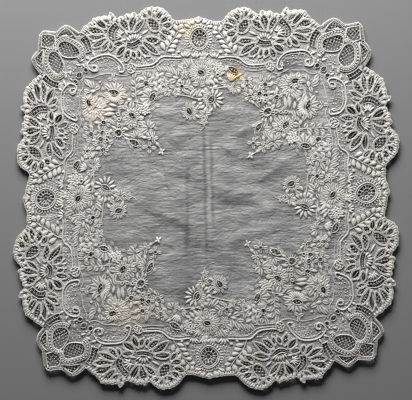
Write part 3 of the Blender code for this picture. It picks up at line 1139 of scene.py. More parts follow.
@dataclass
class LawnSheet:
    """The sheer lawn itself, cut out at its edge and at every window."""

    cloth: Cloth
    edge_step: float = 1.6 * MM
    grid: float = 4.0 * MM
    dense_from: float = 146.0 * MM
    dense_whole: float = 164.0 * MM
    seeded_from: float = 112.0 * MM
    seeded_whole: float = 138.0 * MM
    seeded_share: float = 0.3
    rolled_back: float = 0.6

    def loops(self) -> list[np.ndarray]:
        """The outline of the sheet and of each of its openings, on the drawn square.

        Returns:
            The outlines, the sheet's own first, in metres.
        """
        loops = [outer_edge(self.edge_step)]
        for opening, copies in every_opening():
            loops += [opening.outline(self.rolled_back) @ turn.T for turn in copies.frames()]
        return loops

    def grid_points(self) -> np.ndarray:
        """Points all over the sheet, in a staggered grid, so that it can bend anywhere.

        Returns:
            The points, one row each, in metres.
        """
        reach = 222.0 * MM
        rows = np.arange(-reach, reach, self.grid * STAGGER)
        places = []
        for index, y in enumerate(rows):
            start = -reach + (0.5 * self.grid if index % 2 else 0.0)
            places += [(x, y) for x in np.arange(start, reach, self.grid)]
        points = np.array(places)
        return points[points_inside(points, outer_edge(4.0 * MM, 1.5 * MM))]

    def density(self, plan: np.ndarray) -> np.ndarray:
        """How closely the ground is covered with stitches.

        Args:
            plan: The drawn points, one row each, in metres.

        Returns:
            The cover at each point.
        """
        out = np.abs(plan).max(axis=1)
        dense = np.clip((out - self.dense_from) / (self.dense_whole - self.dense_from), 0, 1)
        seeded = np.clip((out - self.seeded_from) / (self.seeded_whole - self.seeded_from), 0, 1)
        return np.maximum(dense**2 * (3 - 2 * dense), self.seeded_share * seeded**2 * (3 - 2 * seeded))

    def build(self, material: bpy.types.Material) -> bpy.types.Object:
        """Make the sheet.

        Args:
            material: The lawn's finish.

        Returns:
            The sheet, closed and of even thickness.
        """
        places: list[Vector] = []
        rings: list[list[int]] = []
        for loop in self.loops():
            following = np.roll(loop, -1, axis=0)
            signed = np.sum(loop[:, 0] * following[:, 1] - loop[:, 1] * following[:, 0])
            ordered = loop if signed > 0 else loop[::-1]
            first = len(places)
            places += [Vector(place) for place in ordered]
            rings.append(list(range(first, len(places))))
        places += [Vector(place) for place in self.grid_points()]
        verts, _, faces, _, _, origins = delaunay_2d_cdt(places, [], rings, 1, 1e-6)
        kept = [face for face, origin in zip(faces, origins) if list(origin) == [0]]
        plan = np.array([vert[:] for vert in verts])
        laid = self.cloth.laid(np.column_stack([plan, np.full(len(plan), LAWN_BOTTOM)]))
        mesh = bpy.data.meshes.new("lawn_sheet")
        mesh.from_pydata(laid.tolist(), [], kept)
        cover = mesh.attributes.new("cover", "FLOAT", "POINT")
        cover.data.foreach_set("value", self.density(plan))
        sheet = bmesh.new()
        sheet.from_mesh(mesh)
        loose = [vert for vert in sheet.verts if not vert.link_faces]
        bmesh.ops.delete(sheet, geom=loose, context="VERTS")
        sheet.to_mesh(mesh)
        sheet.free()
        mesh.shade_smooth()
        piece = finished_piece("lawn_sheet", mesh, material)
        thicken = piece.modifiers.new("thickness", "SOLIDIFY")
        thicken.thickness = LAWN_THICKNESS
        thicken.offset = 1.0
        return piece


@dataclass
class ScallopedEdge:
    """The buttonholed edge: a cord, close stitches across it, and a padded bump in each scallop."""

    cloth: Cloth
    cord: float = 1.25 * MM
    inset: float = 0.55 * MM
    stitch_pitch: float = 1.25 * MM
    stitch_size: tuple[float, float, float] = (3.0, 1.15, 0.85)
    bump_height: float = 0.9
    fan_reach: float = 141.0 * MM

    def build(self, material: bpy.types.Material) -> bpy.types.Object:
        """Make the edge.

        Args:
            material: Its finish.

        Returns:
            The piece's object.
        """
        work = Needlework("scalloped_edge", self.cloth)
        once = Copies.ONCE.frames()
        line = outer_edge(1.0 * MM, self.inset)
        for _ in range(2):
            line = 0.25 * np.roll(line, 1, axis=0) + 0.5 * line + 0.25 * np.roll(line, -1, axis=0)
        work.cords([line], self.cord, once, closed=True, flat=1.3, smooth=False, lift=0.1 * MM)
        line = outer_edge(0.4 * MM, self.inset + 0.5 * self.stitch_size[0] * MM)
        run = np.concatenate([[0.0], np.cumsum(np.linalg.norm(np.diff(line, axis=0), axis=1))])
        for travelled in np.arange(0.0, run[-1], self.stitch_pitch):
            index = int(np.searchsorted(run, travelled))
            before, after = line[index - 1], line[(index + 1) % len(line)]
            turn = math.degrees(math.atan2(after[1] - before[1], after[0] - before[0])) + 90
            place = (line[index][0] / MM, line[index][1] / MM)
            work.pad(Pad.BAR, place, self.stitch_size, turn, Copies.ONCE)
        self.add_bumps(work)
        return work.piece(material)

    def add_bumps(self, work: Needlework) -> None:
        """Add the padded bump of every scallop beside the fans.

        Args:
            work: The piece that they are added to.
        """
        for here, after in zip(EDGE, EDGE[1:]):
            if here.along * MM >= self.fan_reach:
                continue
            chord = math.dist((here.along, here.out), (after.along, after.out))
            turn = math.degrees(math.atan2(after.out - here.out, after.along - here.along)) - 90
            inward = (math.cos(math.radians(turn)), math.sin(math.radians(turn)))
            depth = 2.9 - 0.5 * here.rise
            place = (
                0.5 * (here.along + after.along) + depth * inward[0],
                0.5 * (here.out + after.out) + depth * inward[1],
            )
            size = (min(8.0, 5.4 + here.rise), 0.44 * chord, self.bump_height)
            aside = (-inward[1] * 0.25 * chord, inward[0] * 0.25 * chord)
            for step in (-1, 1):
                petal = (place[0] + step * aside[0], place[1] + step * aside[1])
                work.pad(Pad.LEAF, petal, size, turn + 180 - 8 * step)


@dataclass
class WindowRims:
    """The overcast cords round every window, with a second one round those of the fans."""

    cloth: Cloth
    rim: float = 0.85 * MM
    rim_shape: float = 1.75
    outer_rim: float = 0.95 * MM
    rim_gap: float = 0.95
    outer_gap: float = 2.15

    def build(self, material: bpy.types.Material) -> bpy.types.Object:
        """Make the rims.

        Args:
            material: Their finish.

        Returns:
            The piece's object.
        """
        work = Needlework("window_rims", self.cloth)
        eighths = [LOBE_EYE, LADDER, SIDE_EYELET, *FAN_WINDOWS, *FAN_SLOTS]
        sides = [CORNER_EYELET, *SPRAY_WINDOWS, *EYELETS]
        shape = {"closed": True, "flat": self.rim_shape, "smooth": False, "lift": RIM_BOTTOM}
        for openings, copies in ((eighths, Copies.EIGHTHS), (sides, Copies.SIDES)):
            paths = [opening.outline(self.rim_gap) for opening in openings]
            work.cords(paths, self.rim, copies.frames(), **shape)
        paths = [opening.outline(self.outer_gap) for opening in (LOBE_EYE, *FAN_WINDOWS)]
        work.cords(paths, self.outer_rim, Copies.EIGHTHS.frames(), closed=True, flat=0.75, smooth=False)
        return work.piece(material)


# What fills the windows whose filling is picked, and how often each comes up.
PICKED_FILLINGS = (Filling.TWIN_ROWS, Filling.LONG_BAR, Filling.CROSSED)
PICKED_SHARES = (6, 2, 2)


@dataclass(frozen=True)
class OpenWindow:
    """One copy of a window while it is filled.

    Threads and knots are added to work. The outline and its middle are in metres, and lie is the
    window's direction in degrees. The threads are shifted by phase, a share of their pitch, and
    turn is the flat transform that carries all of it to its place.
    """

    work: Needlework
    outline: np.ndarray
    middle: np.ndarray
    lie: float
    phase: float
    turn: np.ndarray

    def inside(self, places: np.ndarray) -> np.ndarray:
        """Those of some places that lie in the window."""
        return places[points_inside(places, self.outline)]


@dataclass
class NetFillings:
    """The thread nets and bars inside the windows."""

    cloth: Cloth
    fine: float = 0.24 * MM
    bar: float = 0.36 * MM
    pitch: float = 3.1 * MM
    net_pitch: float = 3.2 * MM
    knot: float = 1.4
    unevenness: float = 0.5 * MM
    draw: random.Random = field(default_factory=lambda: random.Random(SEED))

    def build(self, material: bpy.types.Material) -> bpy.types.Object:
        """Make the fillings.

        Args:
            material: Their finish.

        Returns:
            The piece's object.
        """
        work = Needlework("net_fillings", self.cloth)
        draw = random.Random(SEED)
        for opening, copies in every_opening():
            for turn in copies.frames():
                filling = opening.filling
                if filling is Filling.PICK:
                    filling = draw.choices(PICKED_FILLINGS, PICKED_SHARES)[0]
                self.fill(work, opening, filling, turn, draw.uniform(-0.5, 0.5))
        return work.piece(material)

    def fill(
        self,
        work: Needlework,
        opening: Window | Slot | Panel,
        filling: Filling,
        turn: np.ndarray,
        phase: float,
    ) -> None:
        """Fill one copy of a window.

        Args:
            work: The piece that the threads are added to.
            opening: The window as drawn.
            filling: How it is filled.
            turn: The flat transform that carries it to its place.
            phase: How far the threads are shifted, as a share of their pitch.
        """
        if filling is Filling.BARE:
            return
        outline = opening.outline(RIM_GAP)
        window = OpenWindow(work, outline, outline.mean(axis=0), opening.lie, phase, turn)
        if filling is Filling.CROSSED:
            for slant in (45, -45):
                self.family(window, slant, self.net_pitch, phase, self.fine)
            self.knots(window)
            return
        if isinstance(opening, Slot):
            half = len(outline) // 2
            middles = 0.5 * (outline[:half] + outline[half:][::-1])
            for start, end in zip(middles, middles[1:]):
                work.thread(start, end, self.bar, [turn])
        else:
            self.family(window, 0, 1.0, 0.0, self.bar)
        if filling is Filling.TWIN_ROWS:
            self.family(window, 90, self.pitch, phase, self.fine)
            self.twin_knots(window)

    def knots(self, window: OpenWindow) -> None:
        """Add a knot at each crossing of a slanting net.

        Args:
            window: The window.
        """
        first, second = (direction(window.lie + slant + 90) for slant in (45, -45))
        reach = float(np.linalg.norm(window.outline - window.middle, axis=1).max())
        rows = int(reach / self.net_pitch) + 2
        steps = (np.arange(-rows, rows + 1) + window.phase) * self.net_pitch
        places = np.array([window.middle + first * a + second * b for a in steps for b in steps])
        for place in window.inside(places):
            self.knot_at(window.work, place, window.turn)

    def twin_knots(self, window: OpenWindow) -> None:
        """Add a knot where each cross thread meets the middle bar.

        Args:
            window: The window.
        """
        way = direction(window.lie)
        reach = float(np.abs((window.outline - window.middle) @ way).max())
        rows = int(reach / self.pitch) + 1
        counts = range(-rows, rows + 1)
        places = [window.middle - way * self.pitch * (row + window.phase) for row in counts]
        for place in window.inside(np.array(places)):
            self.knot_at(window.work, place, window.turn)

    def knot_at(self, work: Needlework, place: np.ndarray, turn: np.ndarray) -> None:
        """Add one knot of a filling.

        Args:
            work: The piece that the knot is added to.
            place: Its place on the drawn square, in metres.
            turn: The flat transform that carries it from there.
        """
        size = self.knot * MM * self.draw.uniform(0.75, 1.25)
        x = place[0] + self.unevenness * self.draw.uniform(-1, 1)
        y = place[1] + self.unevenness * self.draw.uniform(-1, 1)
        stitch = Pad.KNOT.stitch().scaled(size, size, 0.7 * size)
        work.add(stitch.placed(x, y, 0.0, NET_HEIGHT - 0.4 * size), [turn])

    @staticmethod
    def family(window: OpenWindow, slant: float, pitch: float, phase: float, thickness: float) -> None:
        """Add the parallel threads that cross a window.

        Args:
            window: The window.
            slant: The threads' direction from the window's own, in degrees.
            pitch: The distance from thread to thread, in metres.
            phase: How far they are shifted, as a share of the pitch.
            thickness: The threads' thickness, in metres.
        """
        way = direction(window.lie + slant)
        aside = np.array([-way[1], way[0]])
        reach = float(np.abs((window.outline - window.middle) @ aside).max())
        rows = int(reach / pitch) + 1
        for row in range(-rows, rows + 1):
            through = window.middle + aside * pitch * (row + phase)
            for start, end in cuts_of_line(window.outline, through, way):
                window.work.thread(start, end, thickness, [window.turn])


class Whorl(NamedTuple):
    """A ring or fan of like petals round a point, in millimetres and degrees."""

    x: float
    y: float
    radius: float
    length: float
    width: float
    angles: tuple[float, ...]
    pad: Pad = Pad.PETAL
    height: float = 1.1


class Leaf(NamedTuple):
    """One satin leaf, in millimetres and degrees."""

    x: float
    y: float
    length: float
    width: float
    turn: float
    pad: Pad = Pad.LEAF
    height: float = 1.0


class Sprig(NamedTuple):
    """A stem through three points with leaves in pairs along it, in millimetres and degrees."""

    start: Point
    bend: Point
    end: Point
    pairs: int
    length: float
    width: float
    spread: float = 50.0


class Stem(NamedTuple):
    """A raised cord through some points, in millimetres."""

    points: tuple[Point, ...]
    thickness: float = 0.9


class Cluster(NamedTuple):
    """An oval heap of knots, in millimetres and degrees."""

    x: float
    y: float
    length: float
    width: float
    turn: float
    knots: int
    size: float = 2.3


class Loop(NamedTuple):
    """A small ring of cord, in millimetres."""

    x: float
    y: float
    radius: float
    thickness: float = 0.9


def spread(start: float, sweep: float, count: int) -> tuple[float, ...]:
    """Evenly spread angles.

    Args:
        start: The first angle, in degrees.
        sweep: How far they go round, in degrees; a full round leaves out the last one.
        count: How many there are.

    Returns:
        The angles, in degrees.
    """
    gaps = count if sweep >= 360 else count - 1
    return tuple(start + sweep * index / gaps for index in range(count))


@dataclass(frozen=True)
class Embroidery:
    """A patch of satin embroidery: its flowers, leaves, stems, knots and rings."""

    name: str
    copies: Copies
    whorls: tuple[Whorl, ...] = ()
    leaves: tuple[Leaf, ...] = ()
    sprigs: tuple[Sprig, ...] = ()
    stems: tuple[Stem, ...] = ()
    clusters: tuple[Cluster, ...] = ()
    loops: tuple[Loop, ...] = ()
    grounds: tuple[tuple[Point, ...], ...] = ()
    swell: float = 1.0
    relief: float = 0.6
    stem_shape: float = 0.5
    fanned_from: float = 4.2
    fan_turn: float = 19.0
    gap_pitch: float = 3.2
    gap_least: float = 2.1

    def build(self, cloth: Cloth, material: bpy.types.Material) -> bpy.types.Object:
        """Stitch the patch at all its places.

        Args:
            cloth: The cloth that it is worked on.
            material: Its finish.

        Returns:
            The piece.
        """
        work = Needlework(self.name, cloth)
        for whorl in self.whorls:
            self.add_whorl(work, whorl)
        for leaf in self.leaves:
            self.lay(work, leaf.pad, (leaf.x, leaf.y), (leaf.length, leaf.width, leaf.height), leaf.turn)
        for sprig in self.sprigs:
            self.add_sprig(work, sprig)
        for cluster in self.clusters:
            self.add_cluster(work, cluster)
        frames = self.copies.frames()
        for stem in self.stems:
            work.cords([np.array(stem.points) * MM], stem.thickness * MM, frames, flat=self.stem_shape)
        for loop in self.loops:
            ring = Window(loop.x, loop.y, 2 * loop.radius, 2 * loop.radius, 0, 10, 0.5).outline()
            work.cords([ring], loop.thickness * MM, frames, closed=True, smooth=False, lift=ON_LAWN)
        self.fill_gaps(work)
        return work.piece(material, smooth=False)

    def lay(
        self,
        work: Needlework,
        pad: Pad,
        place: Point,
        size: tuple[float, float, float],
        turn: float,
    ) -> None:
        """Add a pad to the piece, swelled, clear of the openings and as often as the patch comes back.

        Args:
            work: The piece.
            pad: The pad's kind.
            place: Its middle on the drawn square, in millimetres.
            size: Its length, width and height, in millimetres.
            turn: Its direction, in degrees.
        """
        length, width, height = size[0] * self.swell, size[1] * self.swell, size[2] * self.relief
        if pad is not Pad.CUP or width < self.fanned_from:
            work.pad(pad, place, (length, width, height), turn, self.copies, guarded=True)
            return
        for step in (-1, 1, 0):
            root = np.array(place) - 0.5 * length * direction(turn)
            middle = root + 0.5 * length * direction(turn + step * self.fan_turn)
            thin = (length * (1.0 if step == 0 else 0.92), 0.45 * width, height)
            work.pad(Pad.PETAL, tuple(middle), thin, turn + step * self.fan_turn, self.copies, guarded=True)

    def fill_gaps(self, work: Needlework) -> None:
        """Fill the free ground between the pads with small leaves that lean away from their neighbours.

        Args:
            work: The piece.
        """
        draw = random.Random(SEED)
        for ground in self.grounds:
            corners = np.array(ground, dtype=float)
            low, high = corners.min(axis=0), corners.max(axis=0)
            for y in np.arange(low[1], high[1], self.gap_pitch):
                for x in np.arange(low[0], high[0], self.gap_pitch):
                    place = np.array([x + draw.uniform(-0.8, 0.8), y + draw.uniform(-0.8, 0.8)])
                    gap, turn = work.room(place)
                    if gap < self.gap_least or not points_inside(place[None, :], corners)[0]:
                        continue
                    width = min(2.5, 1.2 + 0.7 * gap)
                    size = (width * draw.uniform(2.4, 3.3), width, 0.8)
                    self.lay(work, Pad.SPLIT, tuple(place), size, turn + draw.uniform(-25, 25))

    def add_whorl(self, work: Needlework, whorl: Whorl) -> None:
        """Add a ring of petals to the piece.

        Args:
            work: The piece.
            whorl: The ring.
        """
        for angle in whorl.angles:
            radians = math.radians(angle)
            place = (whorl.x + whorl.radius * math.cos(radians), whorl.y + whorl.radius * math.sin(radians))
            self.lay(work, whorl.pad, place, (whorl.length, whorl.width, whorl.height), angle)

    def add_sprig(self, work: Needlework, sprig: Sprig) -> None:
        """Add a leafy sprig to the piece.

        Args:
            work: The piece.
            sprig: The sprig.
        """
        start, bend, end = (np.array(point, dtype=float) for point in (sprig.start, sprig.bend, sprig.end))
        frames = self.copies.frames()
        path = np.array([start, 0.25 * start + 0.5 * bend + 0.25 * end, end]) * MM
        work.cords([path], 0.8 * MM, frames, lift=ON_LAWN)
        for index in range(sprig.pairs):
            share = (index + 0.6) / sprig.pairs
            place = (1 - share) ** 2 * start + 2 * share * (1 - share) * bend + share**2 * end
            way = 2 * (1 - share) * (bend - start) + 2 * share * (end - bend)
            heading = math.degrees(math.atan2(way[1], way[0]))
            length = sprig.length * (1.1 - 0.35 * share)
            for side in (1, -1):
                turn = heading + side * sprig.spread
                reach = 0.5 * length + 0.3
                x = place[0] + reach * math.cos(math.radians(turn))
                y = place[1] + reach * math.sin(math.radians(turn))
                self.lay(work, Pad.PETAL, (x, y), (length, sprig.width, 1.1), turn)
        heading = math.degrees(math.atan2(*(end - bend)[::-1]))
        x, y = end + 0.4 * sprig.length * (end - bend) / np.linalg.norm(end - bend)
        self.lay(work, Pad.PETAL, (x, y), (sprig.length * 0.8, sprig.width, 1.1), heading)

    def add_cluster(self, work: Needlework, cluster: Cluster) -> None:
        """Add an oval heap of knots to the piece, laid out like a sunflower's seeds.

        Args:
            work: The piece.
            cluster: The heap.
        """
        turn = math.radians(cluster.turn)
        for index in range(cluster.knots):
            reach = math.sqrt((index + 0.5) / cluster.knots)
            angle = index * math.pi * (3 - math.sqrt(5))
            u = 0.5 * cluster.length * reach * math.cos(angle)
            v = 0.5 * cluster.width * reach * math.sin(angle)
            x = cluster.x + u * math.cos(turn) - v * math.sin(turn)
            y = cluster.y + u * math.sin(turn) + v * math.cos(turn)
            self.lay(work, Pad.BEAD, (x, y), (cluster.size, cluster.size, 0.6 * cluster.size), 0)


CORNER_ROSES = Embroidery(
    "corner_roses",
    Copies.SIDES,
    whorls=(
        Whorl(-126.0, 104.8, 11.4, 9.0, 5.6, spread(12, 360, 11), Pad.SPLIT, 1.1),
        Whorl(-125.6, 103.4, 6.0, 8.0, 5.0, spread(-140, 240, 6), Pad.SPLIT, 1.8),
        Whorl(-131.0, 109.0, 6.4, 6.0, 4.2, spread(30, 360, 8), Pad.SPLIT, 2.2),
        Whorl(-80.0, 92.4, 10.0, 8.4, 5.4, spread(4, 360, 10), Pad.SPLIT, 1.1),
        Whorl(-80.7, 95.4, 6.6, 5.8, 4.0, spread(24, 360, 9), Pad.SPLIT, 1.8),
        Whorl(-80.0, 86.8, 2.8, 6.0, 4.4, spread(190, 160, 3), Pad.SPLIT, 2.2),
    ),
    leaves=(
        Leaf(-112.4, 118.0, 9.6, 5.0, -28, Pad.SPLIT, 1.2),
        Leaf(-109.6, 112.6, 9.0, 5.0, -42, Pad.SPLIT, 1.2),
        Leaf(-103.6, 113.4, 8.4, 4.8, -66, Pad.SPLIT, 1.2),
    ),
)

CORNER_SPRAY = Embroidery(
    "corner_sprays",
    Copies.SIDES,
    whorls=(
        Whorl(-101.6, 122.0, 7.8, 9.4, 5.2, (8, 43, 76, 106, 140), Pad.SPLIT, 1.3),
        Whorl(-101.0, 121.4, 7.0, 8.0, 4.6, (196, 226, 252, 278, 306, 334), Pad.CUP, 1.2),
        Whorl(-102.5, 138.6, 3.2, 6.0, 3.3, (85, 200, 320), Pad.SPLIT),
        Whorl(-97.0, 75.6, 6.6, 3.4, 1.7, spread(10, 360, 16), Pad.BAR, 0.8),
        Whorl(-76.6, 70.0, 6.0, 8.4, 3.8, (20, 62, 104, 150), Pad.SPLIT),
        Whorl(-62.6, 80.6, 6.0, 9.6, 5.0, (82, 42, 172, 215), Pad.SPLIT, 1.2),
        Whorl(-56.6, 69.8, 3.6, 5.6, 3.4, spread(0, 360, 4), Pad.SPLIT),
        Whorl(-61.6, 58.4, 4.2, 6.0, 3.6, spread(0, 360, 4), Pad.SPLIT),
        Whorl(-47.4, 54.4, 2.4, 4.8, 2.4, spread(30, 360, 4), Pad.LEAF),
        Whorl(-57.4, 116.4, 8.0, 11.0, 4.8, (122, 150, 180, 208, 236), Pad.SPLIT, 1.3),
        Whorl(-62.2, 131.0, 5.4, 7.0, 3.5, (10, 60, 120, 180, 232, 300), Pad.SPLIT),
        Whorl(-127.8, 74.2, 4.6, 5.4, 3.3, spread(30, 360, 5), Pad.SPLIT),
        Whorl(-114.6, 74.6, 4.6, 5.4, 3.3, spread(0, 360, 5), Pad.SPLIT),
        Whorl(-117.4, 67.4, 4.6, 5.4, 3.1, spread(195, 210, 4), Pad.SPLIT),
        Whorl(-113.2, 86.4, 4.8, 5.4, 3.5, spread(40, 360, 5), Pad.SPLIT),
        Whorl(-114.6, 55.4, 4.6, 5.4, 3.3, spread(10, 360, 5), Pad.SPLIT),
        Whorl(-131.8, 53.2, 4.8, 6.4, 3.8, spread(45, 360, 4), Pad.SPLIT, 1.2),
    ),
    leaves=(
        Leaf(-134.0, 133.6, 9.6, 4.4, 132, Pad.SPLIT, 1.2),
        Leaf(-130.4, 132.0, 11.0, 4.6, 122, Pad.SPLIT, 1.4),
        Leaf(-126.6, 131.6, 9.4, 4.4, 108, Pad.SPLIT, 1.2),
        Leaf(-117.4, 133.6, 3.6, 3.0, 20),
        Leaf(-120.4, 127.0, 8.4, 4.2, 20, Pad.SPLIT),
        Leaf(-134.4, 123.4, 8.4, 4.2, -10, Pad.SPLIT),
        Leaf(-126.6, 124.0, 7.6, 3.8, 8),
        Leaf(-107.0, 101.4, 13.6, 4.2, -3, Pad.LEAF, 1.3),
        Leaf(-106.6, 97.0, 13.6, 4.2, 3, Pad.LEAF, 1.3),
        Leaf(-103.0, 106.8, 9.0, 3.6, -6),
        Leaf(-94.0, 105.6, 8.4, 3.8, 14, Pad.SPLIT),
        Leaf(-88.8, 104.8, 8.6, 4.0, -24, Pad.SPLIT),
        Leaf(-81.8, 107.6, 9.0, 5.4, 84, Pad.SPLIT, 1.2),
        Leaf(-74.6, 106.8, 7.0, 4.0, 120, Pad.SPLIT),
        Leaf(-89.0, 117.6, 9.4, 4.6, -18, Pad.SPLIT, 1.2),
        Leaf(-93.8, 111.4, 8.0, 4.0, 22, Pad.SPLIT),
        Leaf(-84.0, 113.6, 6.4, 3.4, 10),
        Leaf(-105.0, 88.4, 9.6, 3.6, -44, Pad.SPLIT),
        Leaf(-102.4, 82.0, 8.0, 3.2, -20),
        Leaf(-121.6, 87.0, 8.0, 3.4, -8),
        Leaf(-120.0, 81.0, 7.0, 3.2, -70),
        Leaf(-136.0, 80.2, 7.6, 3.6, -28, Pad.SPLIT),
        Leaf(-129.6, 82.6, 6.6, 3.4, -34),
        Leaf(-136.6, 70.4, 9.0, 3.6, -10, Pad.SPLIT),
        Leaf(-132.0, 65.8, 9.6, 3.6, -16, Pad.SPLIT),
        Leaf(-124.8, 62.4, 8.4, 3.6, -26, Pad.SPLIT),
        Leaf(-121.6, 57.6, 6.6, 3.4, 24),
        Leaf(-125.4, 67.6, 6.0, 3.0, 20),
        Leaf(-106.4, 65.0, 7.6, 4.6, 36, Pad.SPLIT),
        Leaf(-106.0, 77.8, 6.0, 3.4, 60),
        Leaf(-108.4, 59.6, 6.0, 3.0, 40),
        Leaf(-88.0, 79.4, 7.6, 3.4, -12),
        Leaf(-87.0, 72.6, 7.6, 3.0, -8),
        Leaf(-86.4, 68.0, 6.0, 2.8, -20),
        Leaf(-69.4, 93.6, 6.0, 3.4, -30),
        Leaf(-68.4, 86.6, 7.0, 4.0, -54, Pad.SPLIT),
        Leaf(-73.0, 78.6, 8.0, 4.0, -30, Pad.SPLIT),
        Leaf(-52.8, 63.0, 6.4, 3.4, -50),
        Leaf(-66.6, 69.8, 6.4, 3.4, 10),
        Leaf(-61.4, 124.6, 11.4, 3.8, 3),
        Leaf(-70.4, 121.8, 6.0, 3.4, 40),
        Leaf(-68.6, 114.0, 6.6, 3.4, -30),
        Leaf(-64.6, 109.4, 6.0, 3.0, -20),
        Leaf(-66.0, 143.6, 7.4, 3.8, 100, Pad.SPLIT),
        Leaf(-60.6, 142.8, 7.0, 3.8, 70, Pad.SPLIT),
        Leaf(-56.4, 139.4, 6.4, 3.6, 40),
        Leaf(-69.0, 137.6, 6.4, 3.6, 140),
        Leaf(-76.8, 142.6, 7.0, 4.6, 82, Pad.SPLIT),
        Leaf(-72.0, 137.4, 7.2, 4.4, 56, Pad.SPLIT),
        Leaf(-79.4, 134.6, 7.2, 4.4, 128, Pad.SPLIT),
        Leaf(-73.0, 130.4, 7.2, 4.4, 46, Pad.SPLIT),
        Leaf(-79.8, 127.0, 7.0, 4.4, 138, Pad.SPLIT),
        Leaf(-73.4, 122.4, 7.0, 4.4, 42, Pad.SPLIT),
        Leaf(-79.4, 119.6, 6.6, 4.2, 142, Pad.SPLIT),
        Leaf(-50.6, 141.6, 6.4, 3.8, 86),
        Leaf(-47.0, 135.6, 6.6, 3.8, 50),
        Leaf(-53.4, 133.6, 6.6, 3.8, 130),
        Leaf(-47.4, 128.6, 6.4, 3.6, 46),
        Leaf(-52.6, 126.0, 6.0, 3.4, 134),
    ),
    stems=(
        Stem(((-92.6, 106.0), (-86.0, 111.2), (-76.0, 111.6), (-66.0, 109.0))),
        Stem(((-76.2, 116.0), (-76.6, 126.0), (-76.4, 139.0)), 0.8),
        Stem(((-50.6, 124.0), (-50.4, 132.0), (-50.6, 139.0)), 0.8),
        Stem(((-61.4, 79.0), (-55.4, 67.6), (-47.6, 55.0))),
        Stem(((-112.0, 84.4), (-116.0, 62.0), (-114.6, 52.0)), 0.7),
    ),
    clusters=(Cluster(-66.8, 102.6, 14.6, 12.0, -40, 22, 2.4),),
    loops=(
        Loop(-96.9, 97.2, 1.7, 1.1),
        Loop(-96.9, 91.4, 1.7, 1.1),
        Loop(-96.7, 85.4, 1.7, 1.1),
        Loop(-109.4, 73.5, 1.9),
        Loop(-111.2, 67.0, 1.9),
        Loop(-97.0, 75.6, 4.8, 1.1),
    ),
    grounds=(
        (
            (-139, 100), (-136, 122), (-120, 128), (-113, 135), (-98, 138), (-90, 130), (-85, 120),
            (-82, 145), (-44, 147), (-43, 126), (-50, 104), (-58, 96), (-52, 90), (-50, 82),
            (-58, 74), (-50, 60), (-58, 54), (-68, 60), (-84, 58), (-92, 68), (-104, 62), (-108, 52),
            (-136, 46), (-140, 62), (-140, 82),
        ),
    ),
    swell=1.2,
)

